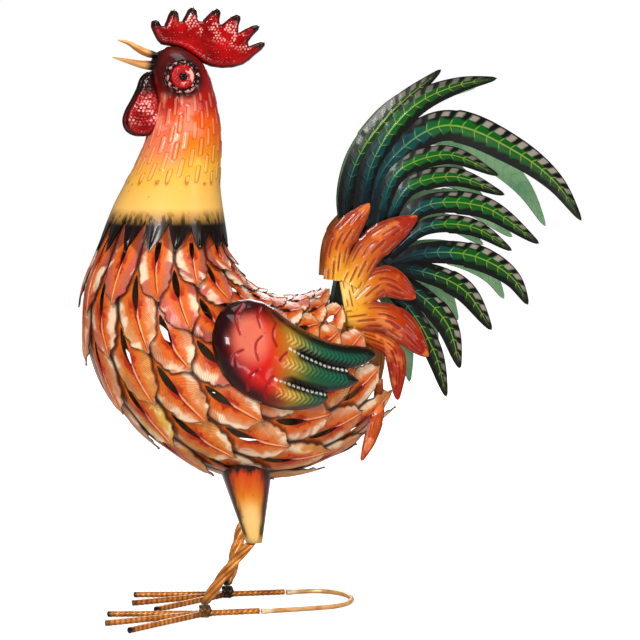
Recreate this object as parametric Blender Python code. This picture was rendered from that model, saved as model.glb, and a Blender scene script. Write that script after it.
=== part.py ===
# Sheet-metal rooster ornament, modelled in Blender 4.5.
# The bird faces -X and stands on the plane Z = 0, with +Z up. Its left side is the -Y side.
# Lengths below are millimetres, angles are degrees, and MM turns lengths into metres.

import math

import bmesh
import bpy
import numpy as np
from mathutils import Matrix, Vector

MM = 0.001
GAP = 0.3              # air between neighbouring pieces
SHEET = 1.5            # thickness of the stamped sheet
LEFT, RIGHT = -1, 1    # sign of Y on each side of the bird

# Body: a hollow form swept like a fan about a pivot on its back.
# A station holds the sweep angle, the radii to the back and to the belly, and the half width.
PIVOT_X, PIVOT_Z = -18.0, 318.0
BODY_STATIONS = (
    (-12, 72, 164, 44),
    (0, 68.5, 176, 50),
    (14, 64, 195, 68),
    (30, 59.5, 208, 80),
    (46, 55, 212, 86),
    (62, 51, 212, 88),
    (78, 48, 208, 83),
    (93, 46, 194, 70),
    (107, 46, 177, 54),
    (122, 46, 161, 38),
)
COLLAR_ANGLES = (-8.0, 2.0)  # rings of the plain front edge, inside the neck
FIRST_ROW_ANGLE = 12.4
ROW_PITCH = 13.0
LEAF_ROWS = 8
LEAVES_ROUND = 12
LEAF_RISE = 5.0        # how far a leaf's free edge stands off the body
LEAF_TIP_RISE = 6.5
SMALL_BODY_REACH = 130 # leaves nearer the pivot than this stand off less
# Places on a leaf as shares of the row pitch, counted from the row's own line.
SEAT_BETWEEN_LEAVES, SEAT_UNDER_TIP = -0.26, 0.16
SLOT_MIDDLE, SLOT_END, LEAF_VALLEY, LEAF_SHOULDER, LEAF_TIP = 0.05, 0.38, 0.68, 0.97, 1.24
SLOT_RISE, SLOT_END_RISE, VALLEY_RISE = 1.9, 2.6, 1.8
SLOT_HALF_WIDTH = 0.2  # share of a leaf's half width
SHOULDER_HALF_WIDTH = 0.56

# Neck and head: rings given by the front and the back point of each and the half width.
NECK_RINGS = (
    ((-173.5, 370), (-90, 370), 38),
    ((-162, 391), (-89.2, 391), 32),
    ((-154.5, 409), (-88.8, 411), 28.5),
    ((-148.5, 429), (-91.2, 431), 26),
    ((-145.8, 446), (-94.8, 448), 24.5),
    ((-147.8, 460), (-98.5, 462), 23.5),
    ((-150.2, 473), (-104.5, 473), 20.5),
    ((-146.0, 482), (-114.0, 481), 14),
    ((-137.0, 487), (-124.0, 487), 5),
)
NECK_SIDES = 16
TOOTH_TIP_ANGLE = 1.5  # the neck's points end here on the body's fan
TOOTH_ROOT_ANGLE = -9.5
TOOTH_LIFT = 1.0       # the neck's points clear the body's flat facets by this much
TOOTH_ROOT_LIFT = 0.9  # and the notches between them by this much more

# Comb, seen from the side: spike tips, the valleys between them, and the lower edge.
COMB_TIPS = ((-141.5, 510), (-129.3, 519), (-112.8, 521), (-91.8, 520), (-75.1, 515.6),
             (-56.5, 507.5), (-49.2, 493))
COMB_VALLEYS = ((-139.8, 502.5), (-123.3, 508.5), (-107.6, 508.7), (-90.3, 505.2),
                (-74.2, 501.2), (-65.2, 489.5))
COMB_FRONT = ((-134, 484), (-142, 486.5), (-147, 494), (-149, 502))
COMB_LOWER = ((-53.9, 482.6), (-63, 475.5), (-75, 470.5), (-88, 469), (-100, 471), (-112, 476))
COMB_TIP_HALF = 4.0    # half width of a spike's rounded tip
COMB_EDGE_HALF = 1.2
COMB_PUFF = 3.6
COMB_INSET = 3.5

EYE_CENTRE = (-127.5, 461)
EYE_RADIUS = 14.3
EYE_RING = 5           # the neck ring at the eye's height
EYE_PROUD = 4.0        # how far the eye's dome stands out from that ring's side
EYE_RIM_DEPTH = 3.2    # how far the eye's flat rim lies below the dome's top
# Beaks: rows of place along X, height of the top and of the underside, and half width.
UPPER_BEAK = ((-178, 492.6, 491.4, 0.5), (-169.5, 491.9, 487.4, 3), (-161, 488.6, 480.8, 5.5),
              (-153, 485.4, 477, 7.5), (-140, 481, 477, 8.5))
LOWER_BEAK = ((-183, 478.2, 477.2, 0.5), (-170, 477.2, 472.4, 3), (-158, 476.4, 468.4, 5.5),
              (-151, 476.3, 467, 7), (-140, 476.3, 465, 8))
WATTLE_SPREAD = 7.5    # wattles hang this far from the middle plane
WATTLE_HALF_THICK = 2.4
WATTLE_OUTLINE = ((-151, 466), (-157.5, 461), (-161, 452), (-166, 442), (-171, 433), (-173.5, 424),
                  (-171, 416), (-164, 411.5), (-156, 411), (-148, 415.5), (-144, 424.5),
                  (-143, 435), (-145, 445), (-148, 456))

# Feathers: points of the midrib from root to tip as (X, Z), then the half width.
TAIL_FEATHERS = (
    (((20, 331), (19.5, 358), (27, 387), (54.5, 428), (101, 469)), 8.5),
    (((31, 328), (42, 390), (83, 441.5), (116, 455.5), (149, 461.5)), 10),
    (((34, 322), (54, 386), (101, 420), (163, 399), (200, 371), (224, 337)), 13.5),
    (((43, 321), (67, 383), (105, 395), (151, 377)), 8.5),
    (((48, 316), (75, 368), (108, 376), (157, 360)), 8.5),
    (((54, 312), (84, 349), (132, 351), (187, 317)), 9.5),
    (((56, 307), (88, 332), (127, 332), (163, 311)), 7.5),
    (((54, 299), (88, 309), (136, 304), (165, 285), (178, 263)), 10.5),
    (((51, 296), (80, 294), (119, 278), (146, 241)), 9.5),
    (((50, 293), (77, 277), (106, 248), (119, 207)), 9.5),
    (((48, 287), (70, 265), (95, 223), (107, 182)), 8),
)
TAIL_ROOT = (((14, 258), (25, 290), (39, 326)), 11)
TAIL_ROOT_Y = 8.0
TAIL_SPLAY = 0.20      # sideways spread for each millimetre rearwards
FAR_TAIL_TURN = -2.5   # the right tail sits a little lower and further back
FAR_TAIL_SHIFT = 6.0
# How much further each right feather's tip lies from its place, from the first to the last.
FAR_TIP_SHIFTS = ((-6, -4), (0, 0), (5, -1), (0, 0), (3, 3), (7.5, 8), (1, 6.5), (10, 4.5), (-5.5, 7),
                  (0, 0), (-14, 10))
FEATHER_PIVOT = (34, 320)
FLAME_FEATHERS = (
    (((8, 286), (12, 316), (38, 353)), 11),
    (((22, 282), (38, 312), (79, 342)), 13),
    (((26, 268), (50, 285), (78, 270)), 13),
    (((18, 252), (52, 253), (88, 219)), 13),
    (((26, 241), (56, 226), (62, 180.5)), 8),
)
FLAME_ROOT = (((20, 286), (25, 260), (23, 235), (18, 200)), 9)
FLAME_SPREAD = 4.0     # the flame plate's lower half stands out this much further
TUFT_FEATHER = (((44, 169), (35.5, 150), (26, 129.5)), 6.0)
TUFT_Y = 38.0
RIDGE = 2.2            # height of a feather's midrib fold
FEATHER_STEP = 0.4     # neighbouring feathers lie this much over each other
FEATHER_LEVELS = 5     # the feathers lie at this many levels in turn
FEATHER_SEGMENT = 46.0 # length of one straight stretch of a feather

# Wing: a round shoulder dome and three finger feathers.
WING_DOME_CENTRE = (-78, 230)
WING_DOME_RADII = (43.5, 44.5)
WING_DOME_RISE = 15.0
WING_SIDES = 14
FINGER_LIFT, FINGER_STEP = 2.2, 1.1  # how far the fingers' sheets lie above the wing's rim
WING_REST_Y = 54.5     # past the body, the wing lies this far out at X = 0
WING_TAPER = 0.25      # and comes in by this share of the way rearwards
WING_FINGERS = (
    (((-62, 250), (-12, 232), (42, 222)), 12),
    (((-64, 227), (-21, 212), (22, 201)), 12.5),
    (((-72, 206), (-46, 197), (-15, 190)), 11.5),
)

# Legs: the centres of each thigh's top and bottom and of each foot's junction, as (X, Y).
THIGH_TOP = {LEFT: (-79, -38), RIGHT: (-67, 38)}
THIGH_BOTTOM = {LEFT: (-72.5, -48), RIGHT: (-55.5, 48)}
THIGH_TOP_HEIGHT = 150.0
THIGH_TOP_RADIUS = 27.5
THIGH_BOTTOM_RADIUS = 7.0
KNEE_HEIGHT = 65.0
SHANK_RADIUS = 5.8
SHANK_FLUTE = 1.4
SHANK_TWIST = 300.0
SHANK_END_RADIUS = 3.6
SHANK_LEAN = 2.5       # the shank meets the thigh's end this far in front of its middle
SHANK_BOW = {LEFT: 3.0, RIGHT: 0.0}  # how far the shank's middle bows forwards
FOOT_JUNCTION = {LEFT: (-113, -35), RIGHT: (-77, 33)}
PAD_HEIGHT = 10.0
PAD_RADIUS = 6.0
TOE_RADIUS = 3.0
TOE_LENGTHS = (84, 90, 86)
TOE_ANGLES = (14, -8, -30)
REAR_ROD_LENGTHS = {LEFT: 48, RIGHT: 52}
LOOP_HALF_WIDTH = 33.0
LOOP_CENTRE_X, LOOP_CENTRE_Y = -7.0, -6.0
LOOP_RADIUS = 2.3
LOOP_STEPS = 9
ROD_SIDES = 8
FLAT_ANGLE = 0.2       # joined faces that turn by less than this become one

COLOURS = {
    "salmon": (0.80, 0.36, 0.20), "amber": (0.85, 0.50, 0.12), "comb_red": (0.55, 0.02, 0.02),
    "beak_tan": (0.72, 0.38, 0.12), "eye_red": (0.45, 0.04, 0.03), "wing_red": (0.50, 0.05, 0.04),
    "flame": (0.85, 0.25, 0.03), "tail_green": (0.03, 0.22, 0.13), "thigh": (0.75, 0.30, 0.05),
    "copper": (0.55, 0.22, 0.07), "wire": (0.62, 0.33, 0.16),
}


def rod_height(radius):
    """Height of a rod's axis when one of its flat sides lies on the ground."""
    return radius * math.cos(math.pi / ROD_SIDES)


def eased(stations, value):
    """Smooth curve through rows of (key, values), read at one key."""
    keys = np.array([row[0] for row in stations], float)
    values = np.array([row[1:] for row in stations], float)
    slopes = np.gradient(values, keys, axis=0)
    at = min(max(value, keys[0]), keys[-1])
    i = min(int(np.searchsorted(keys, at, side="right")) - 1, len(keys) - 2)
    span = keys[i + 1] - keys[i]
    t = (at - keys[i]) / span
    start = (2 * t**3 - 3 * t**2 + 1) * values[i] + (t**3 - 2 * t**2 + t) * span * slopes[i]
    end = (3 * t**2 - 2 * t**3) * values[i + 1] + (t**3 - t**2) * span * slopes[i + 1]
    return start + end


def curve_through(points, count):
    """Points spread along a smooth curve through the given ones."""
    points = np.array(points, float)
    lengths = np.linalg.norm(np.diff(points, axis=0), axis=1)
    keys = np.concatenate([[0], np.cumsum(lengths)])
    rows = [(key, *point) for key, point in zip(keys, points)]
    return np.array([eased(rows, keys[-1] * i / (count - 1)) for i in range(count)])


def body_point(angle, turn, lift=0.0):
    """Point on the body: sweep angle, turn round the section (0 at the belly), lift outwards."""
    back, belly, half_width = eased(BODY_STATIONS, angle)
    centre, half_height = (back + belly) / 2, (belly - back) / 2
    out = Vector((math.cos(turn) / half_height, math.sin(turn) / half_width)).normalized()
    radius = centre + half_height * math.cos(turn) + lift * out.x
    a = math.radians(angle)
    return Vector((PIVOT_X - radius * math.cos(a), half_width * math.sin(turn) + lift * out.y,
                   PIVOT_Z - radius * math.sin(a)))


def body_half_width(x, z, lift=0.0):
    """Half width of the body, grown by lift, at a place seen from the side (0 outside it)."""
    dx, dz = PIVOT_X - x, PIVOT_Z - z
    radius = math.hypot(dx, dz)
    back, belly, half_width = eased(BODY_STATIONS, math.degrees(math.atan2(dz, dx)))
    centre, half_height = (back + belly) / 2, (belly - back) / 2 + lift
    share = (radius - centre) / half_height
    return (half_width + lift) * math.sqrt(max(0.0, 1 - share * share))


def make_object(name, vertices, faces, colour, flat=False):
    mesh = bpy.data.meshes.new(name)
    mesh.from_pydata([Vector(v) * MM for v in vertices], [], faces)
    mesh.validate()
    obj = bpy.data.objects.new(name, mesh)
    bpy.context.scene.collection.objects.link(obj)
    material = bpy.data.materials.new(name)
    material.use_nodes = True
    shader = material.node_tree.nodes["Principled BSDF"]
    shader.inputs["Base Color"].default_value = (*COLOURS[colour], 1)
    shader.inputs["Roughness"].default_value = 0.3
    shader.inputs["Metallic"].default_value = 0.2
    mesh.materials.append(material)
    if not flat:
        mesh.shade_smooth()
        mesh.set_sharp_from_angle(angle=math.radians(35))
    return obj


def combine(obj, other, operation):
    """Join or cut obj by other with an exact Boolean, and drop the other object."""
    modifier = obj.modifiers.new(operation.lower(), "BOOLEAN")
    modifier.operation = operation
    modifier.solver = "EXACT"
    modifier.object = other
    graph = bpy.context.evaluated_depsgraph_get()
    mesh = bpy.data.meshes.new_from_object(obj.evaluated_get(graph), depsgraph=graph)
    obj.modifiers.clear()
    obj.data = mesh
    bpy.data.objects.remove(other)
    return obj


def unite(objects):
    """Join objects into the first one, and clean the flat faces that the join left in pieces."""
    first = objects[0]
    for other in objects[1:]:
        combine(first, other, "UNION")
    form = bmesh.new()
    form.from_mesh(first.data)
    bmesh.ops.dissolve_degenerate(form, dist=0.01 * MM, edges=form.edges)
    bmesh.ops.dissolve_limit(form, angle_limit=math.radians(FLAT_ANGLE), verts=form.verts,
                             edges=form.edges)
    bmesh.ops.triangulate(form, faces=form.faces)
    form.to_mesh(first.data)
    form.free()
    return first


def ring_faces(lower, upper):
    """Quads between two rings of vertex numbers of the same length."""
    count = len(lower)
    return [(lower[i], lower[(i + 1) % count], upper[(i + 1) % count], upper[i])
            for i in range(count)]


def loft(name, rings, colour):
    """Closed solid through rings of points, listed anticlockwise as seen from its far end."""
    vertices = [point for ring in rings for point in ring]
    sides = len(rings[0])
    numbers = [[r * sides + i for i in range(sides)] for r in range(len(rings))]
    faces = [tuple(reversed(numbers[0])), tuple(numbers[-1])]
    for lower, upper in zip(numbers, numbers[1:]):
        faces += ring_faces(lower, upper)
    return make_object(name, vertices, faces, colour)


def rod(name, points, radius, colour):
    """Rod of a regular section along points that lie in a horizontal plane."""
    points = [Vector(p) for p in points]
    rings = []
    for i, point in enumerate(points):
        ahead = points[min(i + 1, len(points) - 1)] - points[max(i - 1, 0)]
        side = Vector((0, 0, 1)).cross(ahead.normalized())
        turns = [2 * math.pi * (k + 0.5) / ROD_SIDES for k in range(ROD_SIDES)]
        rings.append([point + side * radius * math.cos(t) - Vector((0, 0, radius * math.sin(t)))
                      for t in reversed(turns)])
    return loft(name, rings, colour)


def build_body():
    """Shingled shell of leaves in one closed mesh, with a lens-shaped slot in each leaf."""
    columns = 2 * LEAVES_ROUND
    vertices, faces, numbers = [], [], {}

    def point(key, row, column, lift):
        """Number of a vertex, made once for each key, at a row position and a column."""
        if key not in numbers:
            numbers[key] = len(vertices)
            angle = FIRST_ROW_ANGLE + ROW_PITCH * row
            turn = 2 * math.pi * column / columns
            reach = (body_point(angle, turn) - Vector((PIVOT_X, 0, PIVOT_Z))).length
            share = min(1.0, reach / SMALL_BODY_REACH) if lift > 0 else 1.0
            vertices.append(body_point(angle, turn, lift * share))
        return numbers[key]

    def seat(row, column, inner):
        """Lattice point under the covering row: between leaves or under a leaf's tip."""
        column %= columns
        under_valley = (column + row) % 2 == 0
        position = row + (SEAT_BETWEEN_LEAVES if under_valley else SEAT_UNDER_TIP)
        return point(("seat", row, column, inner), position, column, -SHEET if inner else 0.0)

    for row in range(LEAF_ROWS):
        for leaf in range(LEAVES_ROUND):
            middle = (2 * leaf + row) % columns
            key = (row, middle)
            top, bottom = {}, {}
            slot = {}
            for inner in (False, True):
                sink = SHEET if inner else 0.0
                top[inner] = seat(row, middle, inner)
                bottom[inner] = point(("end", key, inner), row + SLOT_END, middle,
                                      SLOT_END_RISE - sink)
                for side in (-1, 1):
                    slot[side, inner] = point(("slot", key, side, inner), row + SLOT_MIDDLE,
                                              middle + side * SLOT_HALF_WIDTH, SLOT_RISE - sink)
            tip = point(("tip", key), row + LEAF_TIP, middle, LEAF_TIP_RISE)
            last = row == LEAF_ROWS - 1
            for side in (-1, 1):
                edge = (middle + side) % columns
                under_tip = seat(row, edge, False)
                valley = point(("valley", row, edge), row + LEAF_VALLEY, edge, VALLEY_RISE)
                shoulder = point(("shoulder", key, side), row + LEAF_SHOULDER,
                                 middle + side * SHOULDER_HALF_WIDTH, LEAF_RISE)
                next_valley_seat = seat(row + 1, edge, last)
                next_tip_seat = seat(row + 1, middle, last)
                outer = slot[side, False]
                parts = [
                    (top[False], under_tip, outer), (under_tip, valley, outer),
                    (outer, valley, bottom[False]), (bottom[False], valley, shoulder),
                    (bottom[False], shoulder, tip),
                    (valley, next_valley_seat, shoulder), (shoulder, next_valley_seat, next_tip_seat),
                    (shoulder, next_tip_seat, tip),
                ]
                inner = slot[side, True]
                inner_tip = seat(row, edge, True)
                inner_valley = seat(row + 1, edge, True)
                inner_end = seat(row + 1, middle, True)
                parts += [
                    (top[True], inner, inner_tip), (inner_tip, inner, inner_valley),
                    (inner, bottom[True], inner_valley), (bottom[True], inner_end, inner_valley),
                    (top[False], outer, inner), (top[False], inner, top[True]),
                    (outer, bottom[False], bottom[True]), (outer, bottom[True], inner),
                ]
                faces += [face[::-1] if side < 0 else face for face in parts]

    def collar(ring, column, inner):
        return point(("collar", ring, column % columns, inner),
                     (COLLAR_ANGLES[ring] - FIRST_ROW_ANGLE) / ROW_PITCH, column % columns,
                     -SHEET if inner else 0.0)

    for column in range(columns):
        for inner in (False, True):
            stack = [[collar(0, i, inner), collar(1, i, inner), seat(0, i, inner)]
                     for i in (column, column + 1)]
            quads = [(stack[1][i], stack[1][i + 1], stack[0][i + 1], stack[0][i]) for i in (0, 1)]
            faces += [quad[::-1] for quad in quads] if inner else quads
        faces.append((collar(0, column, True), collar(0, column + 1, True),
                      collar(0, column + 1, False), collar(0, column, False)))
    return make_object("body_shell", vertices, faces, "salmon", flat=True)


def ellipse_ring(front, back, half_width, sides, grow=0.0):
    """Ring through a front and a back point in the middle plane."""
    front = Vector((front[0], 0, front[1]))
    back = Vector((back[0], 0, back[1]))
    centre, half = (front + back) / 2, (front - back) / 2
    half *= (half.length + grow) / half.length
    ring = []
    for i in range(sides):
        t = 2 * math.pi * i / sides
        ring.append(centre + half * math.cos(t) + Vector((0, (half_width + grow) * math.sin(t), 0)))
    return ring


def head_form(grow):
    """Outer form of the neck and head, grown by a clearance, to cut the pieces that seat on it."""
    rings = [ellipse_ring(*ring, NECK_SIDES, grow) for ring in NECK_RINGS]
    rings.append([point + Vector((0, 0, grow)) for point in rings[-1]])
    return loft("head_form", [ring[::-1] for ring in rings], "amber")


def build_neck():
    """Hollow neck and head, with a pointed lower rim that hangs just outside the body."""
    vertices, faces = [], []

    def add(points):
        start = len(vertices)
        vertices.extend(points)
        return list(range(start, len(vertices)))

    walls = {}
    for inner in (False, True):
        thickness = 0.0 if inner else SHEET
        tips, roots = [], []
        for i in range(NECK_SIDES):
            turn = 2 * math.pi * i / NECK_SIDES
            tips.append(body_point(TOOTH_TIP_ANGLE, turn, TOOTH_LIFT + thickness))
            half_step = turn + math.pi / NECK_SIDES
            roots.append(body_point(TOOTH_ROOT_ANGLE, half_step,
                                    TOOTH_LIFT + TOOTH_ROOT_LIFT + thickness))
        rings = [ellipse_ring(*ring, NECK_SIDES, -SHEET if inner else 0) for ring in NECK_RINGS]
        if inner:
            rings = rings[:-1]
        walls[inner] = [add(tips), add(roots)] + [add(ring) for ring in rings]
    for inner, (tips, roots, *rings) in walls.items():
        part = []
        for i in range(NECK_SIDES):
            j = (i + 1) % NECK_SIDES
            part += [(tips[i], roots[i], rings[0][i]), (roots[i], rings[0][j], rings[0][i]),
                     (roots[i], tips[j], rings[0][j])]
        for lower, upper in zip(rings, rings[1:]):
            part += ring_faces(lower, upper)
        part.append(tuple(rings[-1]))
        faces += [face[::-1] for face in part] if not inner else part
    for i in range(NECK_SIDES):
        j = (i + 1) % NECK_SIDES
        outer, inner = walls[False], walls[True]
        faces += [(outer[0][i], outer[1][i], inner[1][i], inner[0][i]),
                  (outer[1][i], outer[0][j], inner[0][j], inner[1][i])]
    return make_object("neck_head", vertices, faces, "amber")


def puffed_plate(name, outline, y, edge_half, puff, inset, colour):
    """Closed plate in a side view, swollen towards its middle on both faces."""
    points = [Vector((x, 0, z)) for x, z in outline]
    count = len(points)
    area = sum(points[i].x * points[(i + 1) % count].z - points[(i + 1) % count].x * points[i].z
               for i in range(count))
    if area < 0:
        points.reverse()
    inner = []
    for i, point in enumerate(points):
        before = (point - points[i - 1]).normalized()
        after = (points[(i + 1) % count] - point).normalized()
        inward = Vector((-before.z - after.z, 0, before.x + after.x)).normalized()
        inner.append(point + inward * inset)
    rings = []
    for loop, offset in ((inner, -edge_half - puff), (points, -edge_half), (points, edge_half),
                         (inner, edge_half + puff)):
        rings.append([Vector((p.x, y + offset, p.z)) for p in loop])
    return loft(name, [ring[::-1] for ring in rings], colour)


def build_comb():
    outline = []
    ends = [COMB_FRONT[-1], *COMB_VALLEYS, COMB_LOWER[0]]
    for i, tip in enumerate(COMB_TIPS):
        tip = Vector(tip)
        base = (Vector(ends[i]) + Vector(ends[i + 1])) / 2
        up = (tip - base).normalized()
        across = Vector((up.y, -up.x))
        outline += [tuple(tip - up * drop + across * COMB_TIP_HALF * share)
                    for drop, share in ((4.5, -1), (0.6, -0.5), (0.6, 0.5), (4.5, 1))]
        if i < len(COMB_VALLEYS):
            outline.append(COMB_VALLEYS[i])
    outline += [*COMB_LOWER, *COMB_FRONT]
    comb = puffed_plate("comb", outline, 0, COMB_EDGE_HALF, COMB_PUFF, COMB_INSET, "comb_red")
    return combine(comb, head_form(GAP), "DIFFERENCE")


def build_beaks():
    """Upper and lower beak: faceted cones that reach into the head and are cut back to it."""
    for name, rows in (("beak_upper", UPPER_BEAK), ("beak_lower", LOWER_BEAK)):
        rings = []
        for x, top, underside, half_width in rows:
            middle, half_height = (top + underside) / 2, (top - underside) / 2
            rings.append([Vector((x, half_width * math.sin(t), middle + half_height * math.cos(t)))
                          for t in (k * math.pi / 3 for k in range(6))])
        beak = loft(name, [ring[::-1] for ring in rings], "beak_tan")
        combine(beak, head_form(GAP), "DIFFERENCE")


def build_eyes():
    """Domed eye discs that seat on the sides of the head."""
    head_side = NECK_RINGS[EYE_RING][2]
    dome = head_side + EYE_PROUD
    rim = dome - EYE_RIM_DEPTH
    for side, word in ((LEFT, "left"), (RIGHT, "right")):
        rings = []
        for reach, share in ((head_side / 4, 1.0), (rim, 1.0), (rim + 1.2, 0.86), (rim + 0.6, 0.76),
                             (dome, 0.4)):
            rings.append([Vector((EYE_CENTRE[0] + EYE_RADIUS * share * math.cos(t), side * reach,
                                  EYE_CENTRE[1] + EYE_RADIUS * share * math.sin(t)))
                          for t in (k * math.pi / 5 for k in range(10))])
        rings = rings if side == LEFT else [ring[::-1] for ring in rings]
        eye = loft("eye_" + word, rings, "eye_red")
        combine(eye, head_form(GAP), "DIFFERENCE")


def build_wattles():
    for side, word in ((LEFT, "left"), (RIGHT, "right")):
        wattle = puffed_plate("wattle_" + word, WATTLE_OUTLINE, side * WATTLE_SPREAD,
                              1.0, WATTLE_HALF_THICK, 4.5, "comb_red")
        combine(wattle, head_form(GAP), "DIFFERENCE")


def blade(name, midrib, half_width, surface, side, lift, colour, root_share=1.0):
    """Feather of folded sheet along a midrib, lying on a surface Y = surface(x, z)."""
    length = np.linalg.norm(np.diff(np.array(midrib, float), axis=0), axis=1).sum()
    segments = max(2, round(length / FEATHER_SEGMENT))
    centres = curve_through(midrib, segments + 1)
    rings = []
    for i, centre in enumerate(centres):
        t = i / segments
        ahead = centres[min(i + 1, segments)] - centres[max(i - 1, 0)]
        ahead /= np.linalg.norm(ahead)
        across = np.array([-ahead[1], ahead[0]])
        if t < 0.5:
            width = half_width * (root_share + (1 - root_share) * math.sin(math.pi * t))
        else:
            width = half_width * math.cos(math.pi * (t - 0.5)) ** 0.75 + 0.7
        fold = RIDGE * width / half_width
        ring = []
        for share, height in ((-1, 0), (0, fold), (1, 0)):
            x, z = centre + across * width * share
            ring.append((x, z, lift + height))
        outer = [Vector((x, side * (surface(x, z) + h + SHEET), z)) for x, z, h in ring]
        inner = [Vector((x, side * (surface(x, z) + h), z)) for x, z, h in reversed(ring)]
        rings.append(outer + inner)
    if side == LEFT:
        rings = [ring[::-1] for ring in rings]
    return loft(name, rings, colour)


def tail_surface(x, z):
    return TAIL_ROOT_Y + TAIL_SPLAY * max(x, 0.0)


def feather_depth():
    """Greatest height of a feather's outer face over the surface that it lies on."""
    return SHEET + RIDGE + FEATHER_STEP * (FEATHER_LEVELS - 1)


def flame_surface(x, z):
    """Outside the tail plate, spreading towards the body's rear edge lower down."""
    share = min(max((290.0 - z) / 70.0, 0.0), 1.0)
    ease = share * share * (3 - 2 * share)
    return tail_surface(x, z) + feather_depth() + GAP + FLAME_SPREAD * ease


def posed(midrib, side, tip_shift):
    """Midrib as it is on the left, or turned and shifted a little for the right side."""
    if side == LEFT:
        return midrib
    pivot = Vector((FEATHER_PIVOT[0], FEATHER_PIVOT[1]))
    turn = Matrix.Rotation(math.radians(FAR_TAIL_TURN), 2)
    points = []
    for i, point in enumerate(midrib):
        shift = Vector((FAR_TAIL_SHIFT, 0)) + Vector(tip_shift) * i / (len(midrib) - 1)
        points.append(pivot + turn @ (Vector(point) - pivot) + shift)
    return points


def build_feather_plate(name, feathers, tip_shifts, surface, side, colour, root_share):
    """One plate of overlapping feathers, joined into a single sheet."""
    blades = []
    for i, ((midrib, half_width), tip_shift) in enumerate(zip(feathers, tip_shifts)):
        blades.append(blade(name, posed(midrib, side, tip_shift), half_width, surface, side,
                            FEATHER_STEP * (i * 2 % FEATHER_LEVELS), colour, root_share))
    unite(blades)


def build_tail():
    for side, word in ((LEFT, "left"), (RIGHT, "right")):
        build_feather_plate("tail_plate_" + word, (TAIL_ROOT, *TAIL_FEATHERS),
                            ((0, 0), *FAR_TIP_SHIFTS), tail_surface, side, "tail_green", 0.6)
        flames = (FLAME_ROOT, *FLAME_FEATHERS)
        build_feather_plate("saddle_flame_" + word, flames, [(0, 0)] * len(flames), flame_surface,
                            side, "flame", 0.85)


def build_tufts():
    """Single feathers that hang below the body's rear edge."""
    for side, word in ((LEFT, "left"), (RIGHT, "right")):
        midrib, half_width = TUFT_FEATHER
        blade("tail_tuft_" + word, midrib, half_width, lambda x, z: TUFT_Y, side, 0.0, "flame")


def wing_surface(x, z):
    """Rest surface of the wing: the leaves' outer level, carried on level past the body."""
    lift = LEAF_TIP_RISE + GAP
    return max(body_half_width(x, z, lift), WING_REST_Y - WING_TAPER * x)


def build_wings():
    """Domed shoulder and three fingers, joined into one stamped sheet."""
    cx, cz = WING_DOME_CENTRE
    for side, word in ((LEFT, "left"), (RIGHT, "right")):
        layers = []
        for inner in (False, True):
            for share, rise in ((1.0, 0.0), (0.86, 0.6), (0.45, 1.0)):
                reach = share - (SHEET / WING_DOME_RADII[0] if inner else 0)
                ring = []
                for k in range(WING_SIDES):
                    t = 2 * math.pi * k / WING_SIDES
                    x = cx + WING_DOME_RADII[0] * reach * math.cos(t)
                    z = cz + WING_DOME_RADII[1] * reach * math.sin(t)
                    y = wing_surface(x, z) + WING_DOME_RISE * rise + (0 if inner else SHEET)
                    ring.append(Vector((x, side * y, z)))
                layers.append(ring)
        outer, inner = layers[:3], layers[3:]
        rings = inner[::-1] + outer
        if side == RIGHT:
            rings = [ring[::-1] for ring in rings]
        pieces = [loft("wing_" + word, rings, "wing_red")]
        for i, (midrib, half_width) in enumerate(WING_FINGERS):
            pieces.append(blade("wing_" + word, midrib, half_width, wing_surface, side,
                                FINGER_LIFT + FINGER_STEP * i, "wing_red"))
        unite(pieces)


def build_thigh(side, word):
    """Cone that hangs from the belly, its top cut to the body's curve."""
    sides = 12
    top, bottom = THIGH_TOP[side], THIGH_BOTTOM[side]
    low, high = [], []
    for k in range(sides):
        t = 2 * math.pi * k / sides
        ray = Vector((math.cos(t), math.sin(t)))
        foot = Vector(bottom) + ray * THIGH_BOTTOM_RADIUS
        head = Vector(top) + ray * THIGH_TOP_RADIUS
        low.append(Vector((*foot, KNEE_HEIGHT)))
        high.append(climb_to_body(low[-1], Vector((*head, THIGH_TOP_HEIGHT))))
    crown = climb_to_body(Vector((*bottom, KNEE_HEIGHT)), Vector((*top, THIGH_TOP_HEIGHT)))
    vertices = low + high + [crown]
    numbers = list(range(sides))
    upper = [sides + i for i in numbers]
    faces = [tuple(reversed(numbers))] + ring_faces(numbers, upper)
    faces += [(upper[i], upper[(i + 1) % sides], 2 * sides) for i in numbers]
    return make_object("thigh_" + word, vertices, faces, "thigh")


def climb_to_body(start, end):
    """Point on the line from start through end at which the leaves' outer level is met."""
    lift = LEAF_TIP_RISE + 2 * GAP
    below, above = 0.0, 1.6
    for _ in range(30):
        share = (below + above) / 2
        p = start + (end - start) * share
        if abs(p.y) < body_half_width(p.x, p.z, lift):
            above = share
        else:
            below = share
    return start + (end - start) * below


def build_shank(side, word):
    """Twisted, fluted bar from the thigh's end down to the foot's pad."""
    top, bottom = THIGH_BOTTOM[side], FOOT_JUNCTION[side]
    steps = 9
    rings = []
    for i in range(steps + 1):
        share = i / steps
        x = bottom[0] + (top[0] - SHANK_LEAN - bottom[0]) * share
        x -= SHANK_BOW[side] * 4 * share * (1 - share)
        y = bottom[1] + (top[1] - bottom[1]) * share
        z = PAD_HEIGHT + GAP + (KNEE_HEIGHT - PAD_HEIGHT - 2 * GAP) * share
        full = min(1.0, SHANK_END_RADIUS / SHANK_RADIUS + 2.2 * share)
        ring = []
        for k in range(8):
            t = math.radians(45 * k + SHANK_TWIST * share)
            radius = (SHANK_RADIUS - SHANK_FLUTE * (k % 2)) * full
            ring.append(Vector((x + radius * math.cos(t), y + radius * math.sin(t), z)))
        rings.append(ring)
    return loft("shank_" + word, rings, "copper")


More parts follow.
